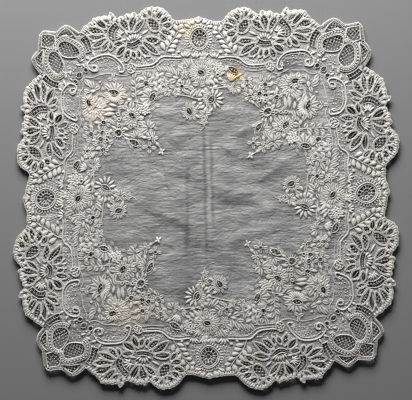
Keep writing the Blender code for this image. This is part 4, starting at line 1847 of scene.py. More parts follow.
SIDE_SPRAY = Embroidery(
    "side_sprays",
    Copies.SIDES,
    whorls=(
        Whorl(1.6, 145.4, 12.4, 6.4, 3.3, spread(8, 360, 17), Pad.SPLIT, 1.2),
        Whorl(1.0, 145.0, 8.0, 7.6, 3.4, spread(16, 360, 12), Pad.SPLIT, 1.6),
        Whorl(4.0, 158.4, 2.6, 5.4, 3.8, (60, 125), Pad.PETAL),
        Whorl(-18.2, 142.4, 3.5, 5.6, 3.3, spread(18, 360, 5), Pad.SPLIT),
        Whorl(-42.0, 133.6, 3.5, 5.6, 3.3, spread(0, 360, 5), Pad.SPLIT),
        Whorl(-53.4, 141.4, 3.4, 5.4, 3.1, spread(40, 360, 5), Pad.SPLIT),
        Whorl(-39.8, 122.6, 3.5, 5.6, 3.3, spread(20, 360, 5), Pad.SPLIT),
        Whorl(-28.4, 122.6, 3.4, 5.6, 3.1, spread(50, 360, 5), Pad.SPLIT),
        Whorl(-21.9, 128.4, 4.6, 5.6, 3.5, spread(10, 360, 5), Pad.SPLIT),
        Whorl(-13.6, 99.6, 7.2, 6.6, 2.7, spread(0, 360, 12), Pad.SPLIT, 1.3),
        Whorl(13.0, 114.0, 9.4, 8.6, 2.9, spread(-80, 168, 7), Pad.LEAF, 1.3),
        Whorl(11.6, 114.0, 7.0, 7.0, 2.4, spread(108, 150, 8), Pad.SPLIT, 1.4),
        Whorl(11.0, 113.0, 12.0, 5.6, 3.4, spread(116, 120, 7), Pad.PETAL, 1.1),
        Whorl(3.6, 96.8, 4.2, 6.6, 3.5, spread(0, 360, 5), Pad.SPLIT, 1.2),
        Whorl(1.6, 87.4, 3.0, 5.4, 2.7, spread(50, 360, 5), Pad.SPLIT),
        Whorl(34.0, 134.4, 5.4, 9.4, 2.7, (34, 52, 70, 88, 106), Pad.LEAF, 1.4),
        Whorl(39.0, 127.4, 5.4, 8.4, 3.4, (196, 226, 262, 300, 334), Pad.SPLIT, 1.2),
        Whorl(29.6, 130.4, 3.6, 6.2, 3.3, (120, 180, 240, 300), Pad.SPLIT),
        Whorl(46.4, 133.4, 3.6, 6.2, 3.1, (-60, 0, 60), Pad.SPLIT),
        Whorl(53.4, 134.4, 4.6, 5.4, 3.1, spread(30, 360, 5), Pad.SPLIT),
    ),
    leaves=(
        Leaf(-16.2, 156.0, 11.6, 5.0, 112, Pad.SPLIT, 1.3),
        Leaf(-10.6, 157.4, 9.0, 4.4, 100, Pad.SPLIT, 1.2),
        Leaf(-23.0, 149.0, 9.4, 4.6, -42, Pad.SPLIT, 1.2),
        Leaf(-48.0, 149.4, 9.0, 4.0, 122, Pad.SPLIT),
        Leaf(-42.8, 149.4, 10.0, 4.0, 118, Pad.SPLIT),
        Leaf(-37.6, 148.6, 10.4, 4.0, 114, Pad.SPLIT),
        Leaf(-32.2, 148.0, 11.0, 4.2, 110, Pad.SPLIT),
        Leaf(-27.0, 145.4, 8.6, 4.2, 100, Pad.SPLIT),
        Leaf(-45.4, 142.6, 8.0, 3.4, 14),
        Leaf(-36.2, 141.6, 9.6, 3.6, 4, Pad.SPLIT),
        Leaf(-28.4, 139.6, 8.0, 3.4, -16),
        Leaf(-32.4, 135.4, 10.0, 4.6, 24, Pad.SPLIT, 1.2),
        Leaf(-47.4, 127.6, 7.0, 3.8, 60, Pad.SPLIT),
        Leaf(-34.4, 129.0, 7.6, 3.6, -20, Pad.SPLIT),
        Leaf(-51.6, 132.6, 6.6, 3.6, 100),
        Leaf(-24.6, 135.6, 6.6, 3.4, 40),
        Leaf(-14.2, 134.0, 7.6, 4.2, 64, Pad.SPLIT),
        Leaf(-11.6, 127.6, 7.6, 4.0, -32, Pad.SPLIT),
        Leaf(-6.0, 131.4, 8.6, 4.4, -12, Pad.SPLIT, 1.2),
        Leaf(1.8, 129.6, 7.6, 4.0, 20, Pad.SPLIT),
        Leaf(-8.8, 121.8, 11.6, 5.6, 52, Pad.SPLIT, 1.4),
        Leaf(-2.4, 121.4, 9.6, 4.8, 62, Pad.SPLIT, 1.2),
        Leaf(-16.0, 122.4, 8.6, 4.0, -22, Pad.SPLIT),
        Leaf(5.4, 122.6, 7.6, 4.0, 40, Pad.SPLIT),
        Leaf(-9.0, 109.8, 7.0, 3.4, 30),
        Leaf(-3.4, 106.0, 7.6, 4.0, 60, Pad.SPLIT),
        Leaf(-4.4, 94.0, 6.0, 3.4, -30),
        Leaf(10.0, 101.0, 7.0, 3.6, 40),
        Leaf(9.4, 134.6, 9.0, 5.0, -70, Pad.CUP, 1.2),
        Leaf(14.4, 133.4, 10.0, 3.8, -50, Pad.LEAF, 1.2),
        Leaf(18.6, 134.8, 9.6, 3.4, -48),
        Leaf(22.8, 136.6, 8.0, 3.4, -36),
        Leaf(12.8, 139.8, 6.6, 3.8, 30),
        Leaf(17.4, 128.6, 6.6, 3.2, 4),
        Leaf(12.2, 154.2, 8.6, 4.6, 60, Pad.CUP, 1.2),
        Leaf(25.0, 143.0, 7.0, 3.4, 50),
        Leaf(30.4, 149.4, 7.0, 3.6, 80),
        Leaf(45.4, 140.6, 7.0, 3.4, 20),
        Leaf(49.4, 127.2, 7.0, 3.6, -30),
        Leaf(44.6, 122.4, 6.0, 3.4, -60),
    ),
    stems=(
        Stem(((-28.0, 119.4), (-18.0, 117.6), (-6.0, 115.6), (4.0, 114.4)), 1.1),
        Stem(((7.0, 128.6), (18.0, 126.6), (30.0, 127.0)), 1.1),
        Stem(((2.0, 83.4), (1.0, 80.0), (-2.0, 77.6)), 0.7),
    ),
    clusters=(Cluster(21.4, 150.4, 14.0, 12.6, 20, 21, 2.4),),
    loops=(Loop(19.8, 141.8, 2.2, 1.1), Loop(-18.2, 142.4, 1.3, 0.8), Loop(26.4, 144.6, 1.7)),
    grounds=(
        (
            (-54, 122), (-56, 146), (-30, 152), (-20, 158), (18, 158), (28, 153), (34, 130), (46, 134),
            (52, 124), (40, 121), (22, 124), (8, 124), (4, 118), (-4, 119), (-26, 121), (-42, 118),
        ),
        (
            (-20, 108), (-4, 110), (0, 104), (20, 106), (10, 92), (4, 84), (-4, 92), (-16, 92),
        ),
    ),
    swell=1.2,
)

FAN_SATIN = Embroidery(
    "fan_satin",
    Copies.EIGHTHS,
    whorls=(
        Whorl(52.5, 198.5, 13.6, 6.8, 3.0, (12, 30, 61, 99, 138, 168, 195, 221), Pad.PETAL, 1.2),
        Whorl(101.0, 187.0, 25.0, 6.4, 3.6, (84, 60, 47, 26, 8, -13), Pad.PETAL, 1.2),
        Whorl(75.0, 184.0, 22.0, 7.0, 2.4, (188, 221, 240, 256, 272, 296, 328), Pad.LEAF, 1.1),
        Whorl(76.0, 178.0, 8.4, 8.0, 2.6, (40, 60, 80, 100, 120, 140), Pad.LEAF, 1.3),
        Whorl(90.6, 187.6, 5.4, 9.0, 2.4, (-32, -8, 16, 40, 64), Pad.LEAF, 1.4),
        Whorl(94.0, 188.4, 3.0, 7.0, 2.4, (150, 240), Pad.LEAF, 1.3),
        Whorl(4.8, 160.0, 6.0, 8.0, 2.6, (52, 76, 100, 124), Pad.LEAF),
        Whorl(16.4, 160.0, 6.0, 8.0, 2.6, (56, 80, 104, 128), Pad.LEAF),
        Whorl(0.0, 183.5, 20.6, 6.0, 3.4, (88, 74, 60, 46), Pad.LEAF),
    ),
    leaves=(
        Leaf(82.6, 209.6, 8.0, 4.2, 85, Pad.CUP, 1.3),
        Leaf(65.6, 207.0, 8.0, 3.2, 115, Pad.PETAL, 1.2),
        Leaf(92.8, 206.0, 8.0, 4.0, 62, Pad.CUP, 1.2),
        Leaf(71.6, 207.0, 6.0, 2.6, 112, Pad.LEAF, 1.1),
        Leaf(62.6, 190.4, 13.0, 2.8, -34),
        Leaf(86.0, 190.4, 9.0, 3.0, 48),
        Leaf(89.4, 182.0, 11.0, 3.4, -14),
        Leaf(97.6, 171.4, 7.0, 3.0, -42),
        Leaf(24.0, 168.6, 3.6, 3.2, 0, Pad.BEAD, 1.0),
        Leaf(30.4, 164.6, 3.6, 3.2, 0, Pad.BEAD, 1.0),
        Leaf(12.0, 198.4, 9.0, 3.0, 30),
        Leaf(20.0, 196.4, 8.0, 3.0, 60),
        Leaf(27.0, 198.6, 7.0, 3.0, 100),
        Leaf(7.4, 203.0, 7.0, 3.0, 50),
        Leaf(132.6, 161.4, 8.0, 3.4, 30),
        Leaf(139.4, 158.6, 7.0, 3.2, -30),
        Leaf(144.0, 153.4, 7.0, 3.2, 10),
        Leaf(126.6, 167.4, 8.0, 3.4, 60),
        Leaf(137.0, 152.6, 6.0, 2.8, 60),
    ),
    sprigs=(Sprig((41.0, 164.0), (34.0, 178.0), (23.0, 193.0), 5, 10.8, 5.8, 48),),
    relief=0.85,
)

SCROLLS = Embroidery(
    "padded_scrolls",
    Copies.EIGHTHS,
    stems=(
        Stem(
            (
                (95.6, 146.6), (90.4, 146.6), (90.6, 152.6), (93.6, 158.8), (101.4, 163.8),
                (112.0, 165.4), (122.6, 163.4), (130.4, 157.8), (132.2, 151.2), (128.0, 146.6),
                (122.8, 148.6), (123.0, 153.0), (126.8, 152.8),
            ),
            1.8,
        ),
        Stem(
            (
                (98.0, 149.4), (94.4, 149.8), (94.8, 153.6), (98.0, 158.4), (104.6, 161.4),
                (112.0, 162.4), (120.4, 160.8), (126.6, 156.4),
            ),
            0.9,
        ),
        Stem(
            (
                (20.7, 162.7), (34.0, 162.4), (46.0, 162.0), (50.4, 157.0), (55.6, 153.2),
                (66.0, 152.8), (75.6, 152.2),
            ),
            1.6,
        ),
        Stem(
            (
                (20.7, 159.6), (34.0, 159.2), (43.6, 158.6), (48.4, 154.0), (54.4, 150.4),
                (66.0, 150.0), (74.6, 149.6),
            ),
            0.8,
        ),
        Stem(
            ((51.0, 146.7), (64.0, 146.4), (76.7, 145.7), (84.0, 142.4), (92.0, 141.4), (102.0, 144.5)),
            0.8,
        ),
        Stem(((104.0, 143.6), (112.0, 143.4), (120.7, 142.4), (127.0, 139.4), (134.0, 138.5)), 0.8),
        Stem(((140.0, 133.0), (137.6, 138.0), (135.6, 141.0)), 0.8),
    ),
    clusters=(Cluster(80.8, 149.6, 9.0, 8.0, 0, 9, 2.4), Cluster(95.2, 150.4, 5.0, 4.0, 0, 4, 1.8)),
    loops=(Loop(80.8, 149.6, 5.2, 1.1), Loop(123.6, 150.4, 3.4, 1.0)),
)


@dataclass
class CornerRopes:
    """The thick ropes round the two ovals of each corner, and the lines of its petals."""

    cloth: Cloth
    inner_rope: float = 1.3 * MM
    outer_line: float = 1.0 * MM
    petal_line: float = 1.3 * MM
    beads: int = 19
    bead_size: tuple[float, float, float] = (3.1, 2.6, 1.3)
    bead_gap: float = 4.0
    inner_gap: float = 2.2
    outer_gap: float = 5.9
    sweep: tuple[float, float] = (-32.0, 212.0)

    def arc(self, gap: float, steps: int = 24) -> np.ndarray:
        """A line round the outer side of the oval.

        Args:
            gap: How far outside the oval it runs, in millimetres.
            steps: How many points it has.

        Returns:
            Its points, one row each, in metres.
        """
        angles = np.radians(np.linspace(*self.sweep, steps))
        u = (0.5 * CORNER_OVAL.length + gap) * np.cos(angles)
        v = (0.5 * CORNER_OVAL.width + gap) * np.sin(angles)
        lie = math.radians(CORNER_OVAL.turn)
        x = CORNER_OVAL.along + u * math.cos(lie) - v * math.sin(lie)
        y = CORNER_OVAL.out + u * math.sin(lie) + v * math.cos(lie)
        return np.column_stack([x, y]) * MM

    def build(self, material: bpy.types.Material) -> bpy.types.Object:
        """Make the ropes.

        Args:
            material: Their finish.

        Returns:
            The piece's object.
        """
        work = Needlework("corner_ropes", self.cloth)
        eighths = Copies.EIGHTHS.frames()
        rim = {"closed": True, "flat": 1.25, "smooth": False, "lift": RIM_BOTTOM}
        work.cords([CORNER_OVAL.outline(RIM_GAP)], self.inner_rope, eighths, **rim)
        arcs = [self.arc(self.inner_gap), self.arc(self.outer_gap)]
        work.cords(arcs, self.outer_line, eighths, smooth=False)
        work.cords([TENT.outline(RIM_GAP)], self.petal_line, eighths, **rim)
        work.cords([CORNER_PANEL.outline(RIM_GAP)], self.petal_line, Copies.SIDES.frames(), **rim)
        self.add_beads(work)
        return work.piece(material)

    def add_beads(self, work: Needlework) -> None:
        """Add the beaded rope round the outer side of each oval.

        Args:
            work: The piece that it is added to.
        """
        line = self.arc(self.bead_gap, self.beads + 1) / MM
        for start, end in zip(line, line[1:]):
            way = math.degrees(math.atan2(end[1] - start[1], end[0] - start[0]))
            work.pad(Pad.BAR, tuple(0.5 * (start + end)), self.bead_size, way)


@dataclass
class SideMedallions:
    """The round medallion in the middle of each side, with its wheel of thread."""

    cloth: Cloth
    hub_share: float = 0.28
    wheel_share: float = 0.62
    spokes: int = 14
    spoke: float = 0.5 * MM
    knot: float = 1.5
    rib_reach: float = 5.2
    rib_size: tuple[float, float, float] = (4.4, 2.7, 0.45)

    def build(self, material: bpy.types.Material) -> bpy.types.Object:
        """Make the medallions.

        Args:
            material: Their finish.

        Returns:
            The piece's object.
        """
        work = Needlework("side_medallions", self.cloth)
        frames = Copies.SIDES.frames()
        middle = np.array([MEDALLION.along, MEDALLION.out]) * MM
        rim = {"closed": True, "flat": 1.1, "smooth": False, "lift": RIM_BOTTOM}
        work.cords([MEDALLION.outline(RIM_GAP)], 1.1 * MM, frames, **rim)
        work.cords([MEDALLION.outline(2.8)], 1.0 * MM, frames, closed=True, smooth=False)
        rim = MEDALLION.outline(0.6)
        for index in range(self.spokes):
            angle = 2 * math.pi * (index + 0.5) / self.spokes
            way = np.array([math.cos(angle), math.sin(angle)])
            near, far = cuts_of_line(rim, middle, way)[0]
            tip = far if (far - middle) @ way > 0 else near
            inner = self.hub_share if index % 2 else self.wheel_share
            work.thread(middle + (tip - middle) * inner, tip, self.spoke, frames)
            x, y = (middle + (tip - middle) * self.wheel_share) / MM
            work.pad(Pad.KNOT, (x, y), (self.knot, self.knot, 0.8), 0, Copies.SIDES, 0.5 * MM)
        place = (MEDALLION.along, MEDALLION.out)
        for share in (self.hub_share, self.wheel_share):
            size = (MEDALLION.length * share, MEDALLION.width * share)
            ring = Window(*place, *size, MEDALLION.turn, 16, 0.5)
            work.cords([ring.outline()], self.spoke, frames, closed=True, smooth=False, lift=0.6 * MM)
        for x, y in MEDALLION_RIBS.outline(self.rib_reach) / MM:
            turn = math.degrees(math.atan2(y - MEDALLION.out, x - MEDALLION.along))
            work.pad(Pad.BAR, (x, y), self.rib_size, turn, Copies.SIDES)
        return work.piece(material)


# Ground without seed stitches: that of the fans, and that of the corner's outer petals.
BARE_GROUND = (
    ((28, 186), (48, 160), (98, 158), (132, 170), (146, 192), (130, 215), (60, 225), (28, 212)),
    ((138, 178), (176, 160), (176, 220), (138, 220)),
    ((16, 158), (50, 158), (50, 178), (34, 204), (12, 204), (24, 180)),
)


@dataclass
class SeedStitches:
    """The small seed stitches scattered over the ground of the border."""

    cloth: Cloth
    pitch: float = 3.9 * MM
    size: float = 1.25
    inner: float = 150.0 * MM
    edge_gap: float = 4.4 * MM

    def places(self, draw: random.Random) -> np.ndarray:
        """Scattered places in one eighth of the border, clear of its edge and windows.

        Args:
            draw: What they are drawn from.

        Returns:
            The places, one row each, in metres.
        """
        places = []
        for row, y in enumerate(np.arange(self.inner, 216 * MM, self.pitch * STAGGER)):
            for x in np.arange(0.5 * self.pitch * (row % 2), y, self.pitch):
                shift_x, shift_y = draw.uniform(-0.3, 0.3), draw.uniform(-0.3, 0.3)
                places.append((x + shift_x * self.pitch, y + shift_y * self.pitch))
        points = np.array(places)
        points = points[points_inside(points, outer_edge(4.0 * MM, self.edge_gap))]
        for opening, _ in every_opening():
            points = points[~points_inside(points, opening.outline(1.2))]
        for area in BARE_GROUND:
            points = points[~points_inside(points, np.array(area) * MM)]
        return points[~points_inside(points, CORNER_OVAL.outline(5.0))]

    def build(self, material: bpy.types.Material) -> bpy.types.Object:
        """Make the stitches.

        Args:
            material: Their finish.

        Returns:
            The piece's object.
        """
        work = Needlework("seed_stitches", self.cloth)
        draw = random.Random(SEED)
        for x, y in self.places(draw):
            size = self.size * draw.uniform(0.85, 1.2)
            work.pad(Pad.KNOT, (x / MM, y / MM), (1.3 * size, size, 0.4), draw.uniform(0, 180))
        return work.piece(material)


class Spot(NamedTuple):
    """A stain, as a place and a radius in millimetres, a colour, and a strength."""

    x: float
    y: float
    radius: float
    colour: tuple[float, float, float, float]
    strength: float


TAN = (0.72, 0.57, 0.37, 1.0)
STRAW = (0.78, 0.68, 0.50, 1.0)
BLUSH = (0.84, 0.74, 0.63, 1.0)
SPOTS = (
    Spot(37.0, 141.8, 12.0, TAN, 0.9),
    Spot(-16.0, 197.0, 17.0, STRAW, 0.5),
    Spot(-123.0, 107.0, 22.0, BLUSH, 0.45),
    Spot(-98.0, 120.0, 16.0, BLUSH, 0.3),
    Spot(-86.0, -128.0, 20.0, BLUSH, 0.4),
    Spot(-106.0, -132.0, 20.0, BLUSH, 0.35),
)


class Group:
    """A shader node group being built, with its inputs and outputs by name."""

    def __init__(self, name: str, inputs: dict[str, float | tuple], outputs: dict[str, str]) -> None:
        """Start a group.

        Args:
            name: The group's name.
            inputs: The default of each input, a number or a colour.
            outputs: The socket type of each output.
        """
        self.tree = bpy.data.node_groups.new(name, "ShaderNodeTree")
        for label, value in inputs.items():
            kind = "NodeSocketFloat" if isinstance(value, (int, float)) else "NodeSocketColor"
            socket = self.tree.interface.new_socket(label, in_out="INPUT", socket_type=kind)
            socket.default_value = value
        for label, kind in outputs.items():
            self.tree.interface.new_socket(label, in_out="OUTPUT", socket_type=kind)
        self.source = self.tree.nodes.new("NodeGroupInput")
        self.sink = self.tree.nodes.new("NodeGroupOutput")

    def node(self, kind: str, settings: dict | None = None, inputs: dict | None = None) -> bpy.types.Node:
        """Add a node.

        Args:
            kind: The node's type.
            settings: Its properties.
            inputs: For each input by name or number, a socket to link or a value.

        Returns:
            The node.
        """
        return add_node(self.tree, kind, settings, inputs)


def add_node(
    tree: bpy.types.NodeTree, kind: str, settings: dict | None = None, inputs: dict | None = None
) -> bpy.types.Node:
    """Add a node to a tree.

    Args:
        tree: The node tree.
        kind: The node's type.
        settings: Its properties.
        inputs: For each input by name or number, a socket to link or a value.

    Returns:
        The node.
    """
    node = tree.nodes.new(kind)
    for label, value in (settings or {}).items():
        setattr(node, label, value)
    for label, value in (inputs or {}).items():
        if isinstance(value, bpy.types.NodeSocket):
            tree.links.new(value, node.inputs[label])
        else:
            node.inputs[label].default_value = value
    return node


def math_node(
    tree: bpy.types.NodeTree, operation: str, *values: bpy.types.NodeSocket | float
) -> bpy.types.NodeSocket:
    """Add a Math node.

    Args:
        tree: The node tree.
        operation: What it works out.
        values: Its inputs in order, sockets or numbers.

    Returns:
        Its output socket.
    """
    node = add_node(tree, "ShaderNodeMath", {"operation": operation}, dict(enumerate(values)))
    return node.outputs[0]


def mix_colours(
    tree: bpy.types.NodeTree,
    factor: bpy.types.NodeSocket | float,
    first: bpy.types.NodeSocket | tuple,
    second: bpy.types.NodeSocket | tuple,
    blend: str = "MIX",
) -> bpy.types.NodeSocket:
    """Add a Mix node for colours.

    Args:
        tree: The node tree.
        factor: How much of the second colour shows.
        first: The first colour.
        second: The second colour.
        blend: The blend type.

    Returns:
        The mixed colour's socket.
    """
    node = tree.nodes.new("ShaderNodeMix")
    node.data_type = "RGBA"
    node.blend_type = blend
    for index, value in ((0, factor), (6, first), (7, second)):
        if isinstance(value, bpy.types.NodeSocket):
            tree.links.new(value, node.inputs[index])
        else:
            node.inputs[index].default_value = value
    return node.outputs[2]


def stain_group() -> bpy.types.NodeTree:
    """The stains of age: a colour in, and the same colour tinted at each spot out.

    Returns:
        The group.
    """
    group = Group("age_stains", {"Color": (0.8, 0.8, 0.8, 1.0)}, {"Color": "NodeSocketColor"})
    tree = group.tree
    place = group.node("ShaderNodeTexCoord").outputs["Object"]
    noise = {"Vector": place, "Scale": 90.0, "Detail": 3.0}
    cloud = group.node("ShaderNodeTexNoise", {}, noise).outputs["Fac"]
    colour = group.source.outputs["Color"]
    for spot in SPOTS:
        centre = (spot.x * MM, spot.y * MM, 0.001)
        measure = group.node("ShaderNodeVectorMath", {"operation": "DISTANCE"}, {0: place, 1: centre})
        near = group.node(
            "ShaderNodeMapRange",
            {"interpolation_type": "SMOOTHSTEP"},
            {
                "Value": measure.outputs["Value"],
                "From Min": spot.radius * MM,
                "From Max": 0.45 * spot.radius * MM,
                "To Min": 0.0,
                "To Max": spot.strength,
            },
        )
        patchy = math_node(tree, "MULTIPLY_ADD", cloud, 0.9, 0.55)
        amount = math_node(tree, "MULTIPLY", near.outputs["Result"], patchy)
        amount = math_node(tree, "MINIMUM", amount, 1.0)
        colour = mix_colours(tree, amount, colour, spot.colour)
    tree.links.new(colour, group.sink.inputs["Color"])
    return tree


def thread_group() -> bpy.types.NodeTree:
    """Fine parallel threads on the piece's own map: their height, and painted shade for their grooves.

    Returns:
        The group.
    """
    group = Group(
        "satin_threads",
        {"Pitch": 0.0005, "Slant": 0.35, "Depth": 0.14},
        {"Height": "NodeSocketFloat", "Shade": "NodeSocketFloat"},
    )
    tree = group.tree
    uv_map = group.node("ShaderNodeUVMap", {"uv_map": "thread_map"}).outputs["UV"]
    split = group.node("ShaderNodeSeparateXYZ", {}, {"Vector": uv_map})
    aside = math_node(tree, "ABSOLUTE", split.outputs["Y"])
    along = math_node(tree, "MULTIPLY_ADD", aside, group.source.outputs["Slant"], split.outputs["X"])
    phase = math_node(tree, "DIVIDE", along, group.source.outputs["Pitch"])
    turned = math_node(tree, "MULTIPLY", phase, 2 * math.pi)
    wave = math_node(tree, "SINE", turned)
    height = math_node(tree, "MULTIPLY_ADD", wave, 0.5, 0.5)
    tree.links.new(height, group.sink.inputs["Height"])
    # Painted shade: the colour darkens in each groove between threads.
    groove = math_node(tree, "SUBTRACT", 1.0, height)
    darkening = math_node(tree, "MULTIPLY", groove, group.source.outputs["Depth"])
    tree.links.new(math_node(tree, "SUBTRACT", 1.0, darkening), group.sink.inputs["Shade"])
    return tree


class CreaseShadeLine(NamedTuple):
    """A line of painted shade along a crease of the lawn: its ends and width in millimetres, and how dark it
    is painted; a negative value paints a light line, a painted highlight.
    """

    start: Point
    end: Point
    width: float
    painted_darkness: float


# Painted shade along the lawn's creases, and painted highlights where a line's darkness is negative.
CREASE_SHADE_WANDER = 4.5 * MM
CREASE_SHADE_LINES = (
    CreaseShadeLine((-0.5, 118), (-1.5, -92), 3.6, 0.36),
    CreaseShadeLine((7.0, 84), (7.5, -40), 3.2, 0.30),
    CreaseShadeLine((-20, 60), (-24, -78), 4.0, 0.24),
    CreaseShadeLine((-24, -18), (-24, -62), 7.0, 0.30),
    CreaseShadeLine((-86, -8), (-18, -30), 3.0, 0.31),
    CreaseShadeLine((-30, -29), (36, -33), 2.4, 0.22),
    CreaseShadeLine((6, -3), (72, -9), 9.0, 0.50),
    CreaseShadeLine((58, 14), (94, 38), 3.2, 0.37),
    CreaseShadeLine((12, 63), (40, 44), 3.0, 0.37),
    CreaseShadeLine((34, 45), (60, 43), 2.6, 0.37),
    CreaseShadeLine((-50, 30), (-12, 22), 8.0, 0.42),
    CreaseShadeLine((38, -33), (92, -32), 3.0, 0.28),
    CreaseShadeLine((-106, 24), (-28, 36), 2.0, 0.22),
    CreaseShadeLine((-102, -47), (-72, -44), 6.0, 0.28),
    CreaseShadeLine((10, -98), (60, -89), 3.0, 0.34),
    CreaseShadeLine((-2, -68), (30, -63), 2.4, 0.31),
    CreaseShadeLine((-46, -22), (-16, -38), 8.0, 0.36),
    CreaseShadeLine((54, 10), (106, 42), 9.0, 0.24),
    CreaseShadeLine((-62, -105), (-6, -108), 9.0, 0.34),
    CreaseShadeLine((-10, -56), (50, -53), 10.0, 0.24),
    CreaseShadeLine((-50, 52), (-41, -2), 1.8, 0.20),
    CreaseShadeLine((8, 60), (28, 46), 2.2, -0.16),
    CreaseShadeLine((24, 47), (62, 46), 2.2, -0.16),
    CreaseShadeLine((3.4, 58), (4.4, -34), 2.4, -0.14),
)


def vector_node(
    group: Group, operation: str, *values: bpy.types.NodeSocket | tuple[float, ...]
) -> bpy.types.NodeOutputs:
    """Add a Vector Math node to a group.

    Args:
        group: The node group.
        operation: What it works out.
        values: Its inputs in order, sockets or vectors.

    Returns:
        Its outputs.
    """
    return group.node("ShaderNodeVectorMath", {"operation": operation}, dict(enumerate(values))).outputs


def painted_crease_shade(
    group: Group, line: CreaseShadeLine, wander: bpy.types.NodeSocket, shade: bpy.types.NodeSocket
) -> bpy.types.NodeSocket:
    """Paint shade along a crease line, or a painted highlight where its darkness is negative.

    Args:
        group: The node group.
        line: The line.
        wander: The place on the cloth, shifted a little to and fro.
        shade: The shade so far.

    Returns:
        The shade's socket, with the line painted in.
    """
    tree = group.tree
    start, end = np.array(line.start) * MM, np.array(line.end) * MM
    middle, half = 0.5 * (start + end), 0.5 * float(np.linalg.norm(end - start))
    way = 0.5 * (end - start) / half
    away = vector_node(group, "SUBTRACT", wander, (*middle, 0.0))[0]
    across = ((-way[1], way[0], 0.0), line.width * MM, 0.0)
    along = ((*way, 0.0), half, 0.5 * half)
    kept = []
    for axis, nothing, whole in (across, along):
        dot = vector_node(group, "DOT_PRODUCT", away, axis)["Value"]
        step = {"Value": math_node(tree, "ABSOLUTE", dot), "From Min": nothing, "From Max": whole}
        eased = add_node(tree, "ShaderNodeMapRange", {"interpolation_type": "SMOOTHSTEP"}, step)
        kept.append(eased.outputs["Result"])
    amount = math_node(tree, "MULTIPLY", kept[0], kept[1])
    return math_node(tree, "MULTIPLY", shade, math_node(tree, "MULTIPLY_ADD", amount, -line.painted_darkness, 1.0))


def weave_group() -> bpy.types.NodeTree:
    """A plain weave with uneven yarns: its height, and a shade that streaks along the weft, with painted
    shade and painted highlights along the lawn's creases.

    Returns:
        The group.
    """
    group = Group(
        "plain_weave",
        {"Pitch": 0.0006, "Streaks": 1.5, "Creases": 2.6},
        {"Height": "NodeSocketFloat", "Shade": "NodeSocketFloat", "Crumple": "NodeSocketFloat"},
    )
    tree = group.tree
    place = group.node("ShaderNodeTexCoord").outputs["Object"]
    stretched = group.node("ShaderNodeMapping", {}, {"Vector": place, "Scale": (52.0, 100.0, 1.0)}).outputs[0]
    folds = {"Vector": stretched, "Scale": 1.0, "Detail": 8.0, "Roughness": 0.76, "Distortion": 0.9}
    crumple = group.node("ShaderNodeTexNoise", {}, folds).outputs["Fac"]
    drawn_out = group.node("ShaderNodeMapping", {}, {"Vector": place, "Scale": (24.0, 44.0, 1.0)}).outputs[0]
    lines = {"Vector": drawn_out, "Scale": 1.0, "Detail": 3.0, "Roughness": 0.6, "Distortion": 1.6}
    line = group.node("ShaderNodeTexNoise", {}, lines).outputs["Fac"]
    ridge = math_node(tree, "ABSOLUTE", math_node(tree, "SUBTRACT", line, 0.5))
    ridge = math_node(tree, "MINIMUM", ridge, 0.06)
    creased = math_node(tree, "MULTIPLY_ADD", ridge, group.source.outputs["Creases"], crumple)
    tree.links.new(creased, group.sink.inputs["Crumple"])
    split = group.node("ShaderNodeSeparateXYZ", {}, {"Vector": place})
    waves = []
    for axis in ("X", "Y"):
        phase = math_node(tree, "DIVIDE", split.outputs[axis], group.source.outputs["Pitch"])
        waves.append(math_node(tree, "SINE", math_node(tree, "MULTIPLY", phase, 2 * math.pi)))
    crossing = math_node(tree, "MULTIPLY", waves[0], waves[1])
    tree.links.new(math_node(tree, "MULTIPLY_ADD", crossing, 0.5, 0.5), group.sink.inputs["Height"])
    streaks = []
    for stretch, detail in (((26.0, 420.0, 1.0), 3.0), ((300.0, 14.0, 1.0), 2.0), ((60.0, 900.0, 1.0), 1.0)):
        mapped = group.node("ShaderNodeMapping", {}, {"Vector": place, "Scale": stretch})
        noise = group.node(
            "ShaderNodeTexNoise", {}, {"Vector": mapped.outputs[0], "Scale": 1.0, "Detail": detail}
        )
        streaks.append(math_node(tree, "SUBTRACT", noise.outputs["Fac"], 0.5))
    weft = math_node(tree, "MULTIPLY_ADD", streaks[1], 0.1, streaks[0])
    weft = math_node(tree, "MULTIPLY_ADD", streaks[2], 1.0, weft)
    broad = {"Vector": place, "Scale": 24.0, "Detail": 3.0}
    clouds = group.node("ShaderNodeTexNoise", {}, broad).outputs["Fac"]
    weft = math_node(tree, "MULTIPLY_ADD", math_node(tree, "SUBTRACT", clouds, 0.5), 0.8, weft)
    shade = math_node(tree, "MULTIPLY_ADD", weft, group.source.outputs["Streaks"], 1.0)
    slow = {"Vector": place, "Scale": 45.0, "Detail": 2.0}
    drift = group.node("ShaderNodeTexNoise", {}, slow).outputs["Color"]
    drift = vector_node(group, "SUBTRACT", drift, (0.5, 0.5, 0.5))[0]
    wander = vector_node(group, "MULTIPLY_ADD", drift, (CREASE_SHADE_WANDER, CREASE_SHADE_WANDER, 0.0), place)[0]
    # Painted shade and painted highlights along the creases.
    for line in CREASE_SHADE_LINES:
        shade = painted_crease_shade(group, line, wander, shade)
    tree.links.new(shade, group.sink.inputs["Shade"])
    return tree


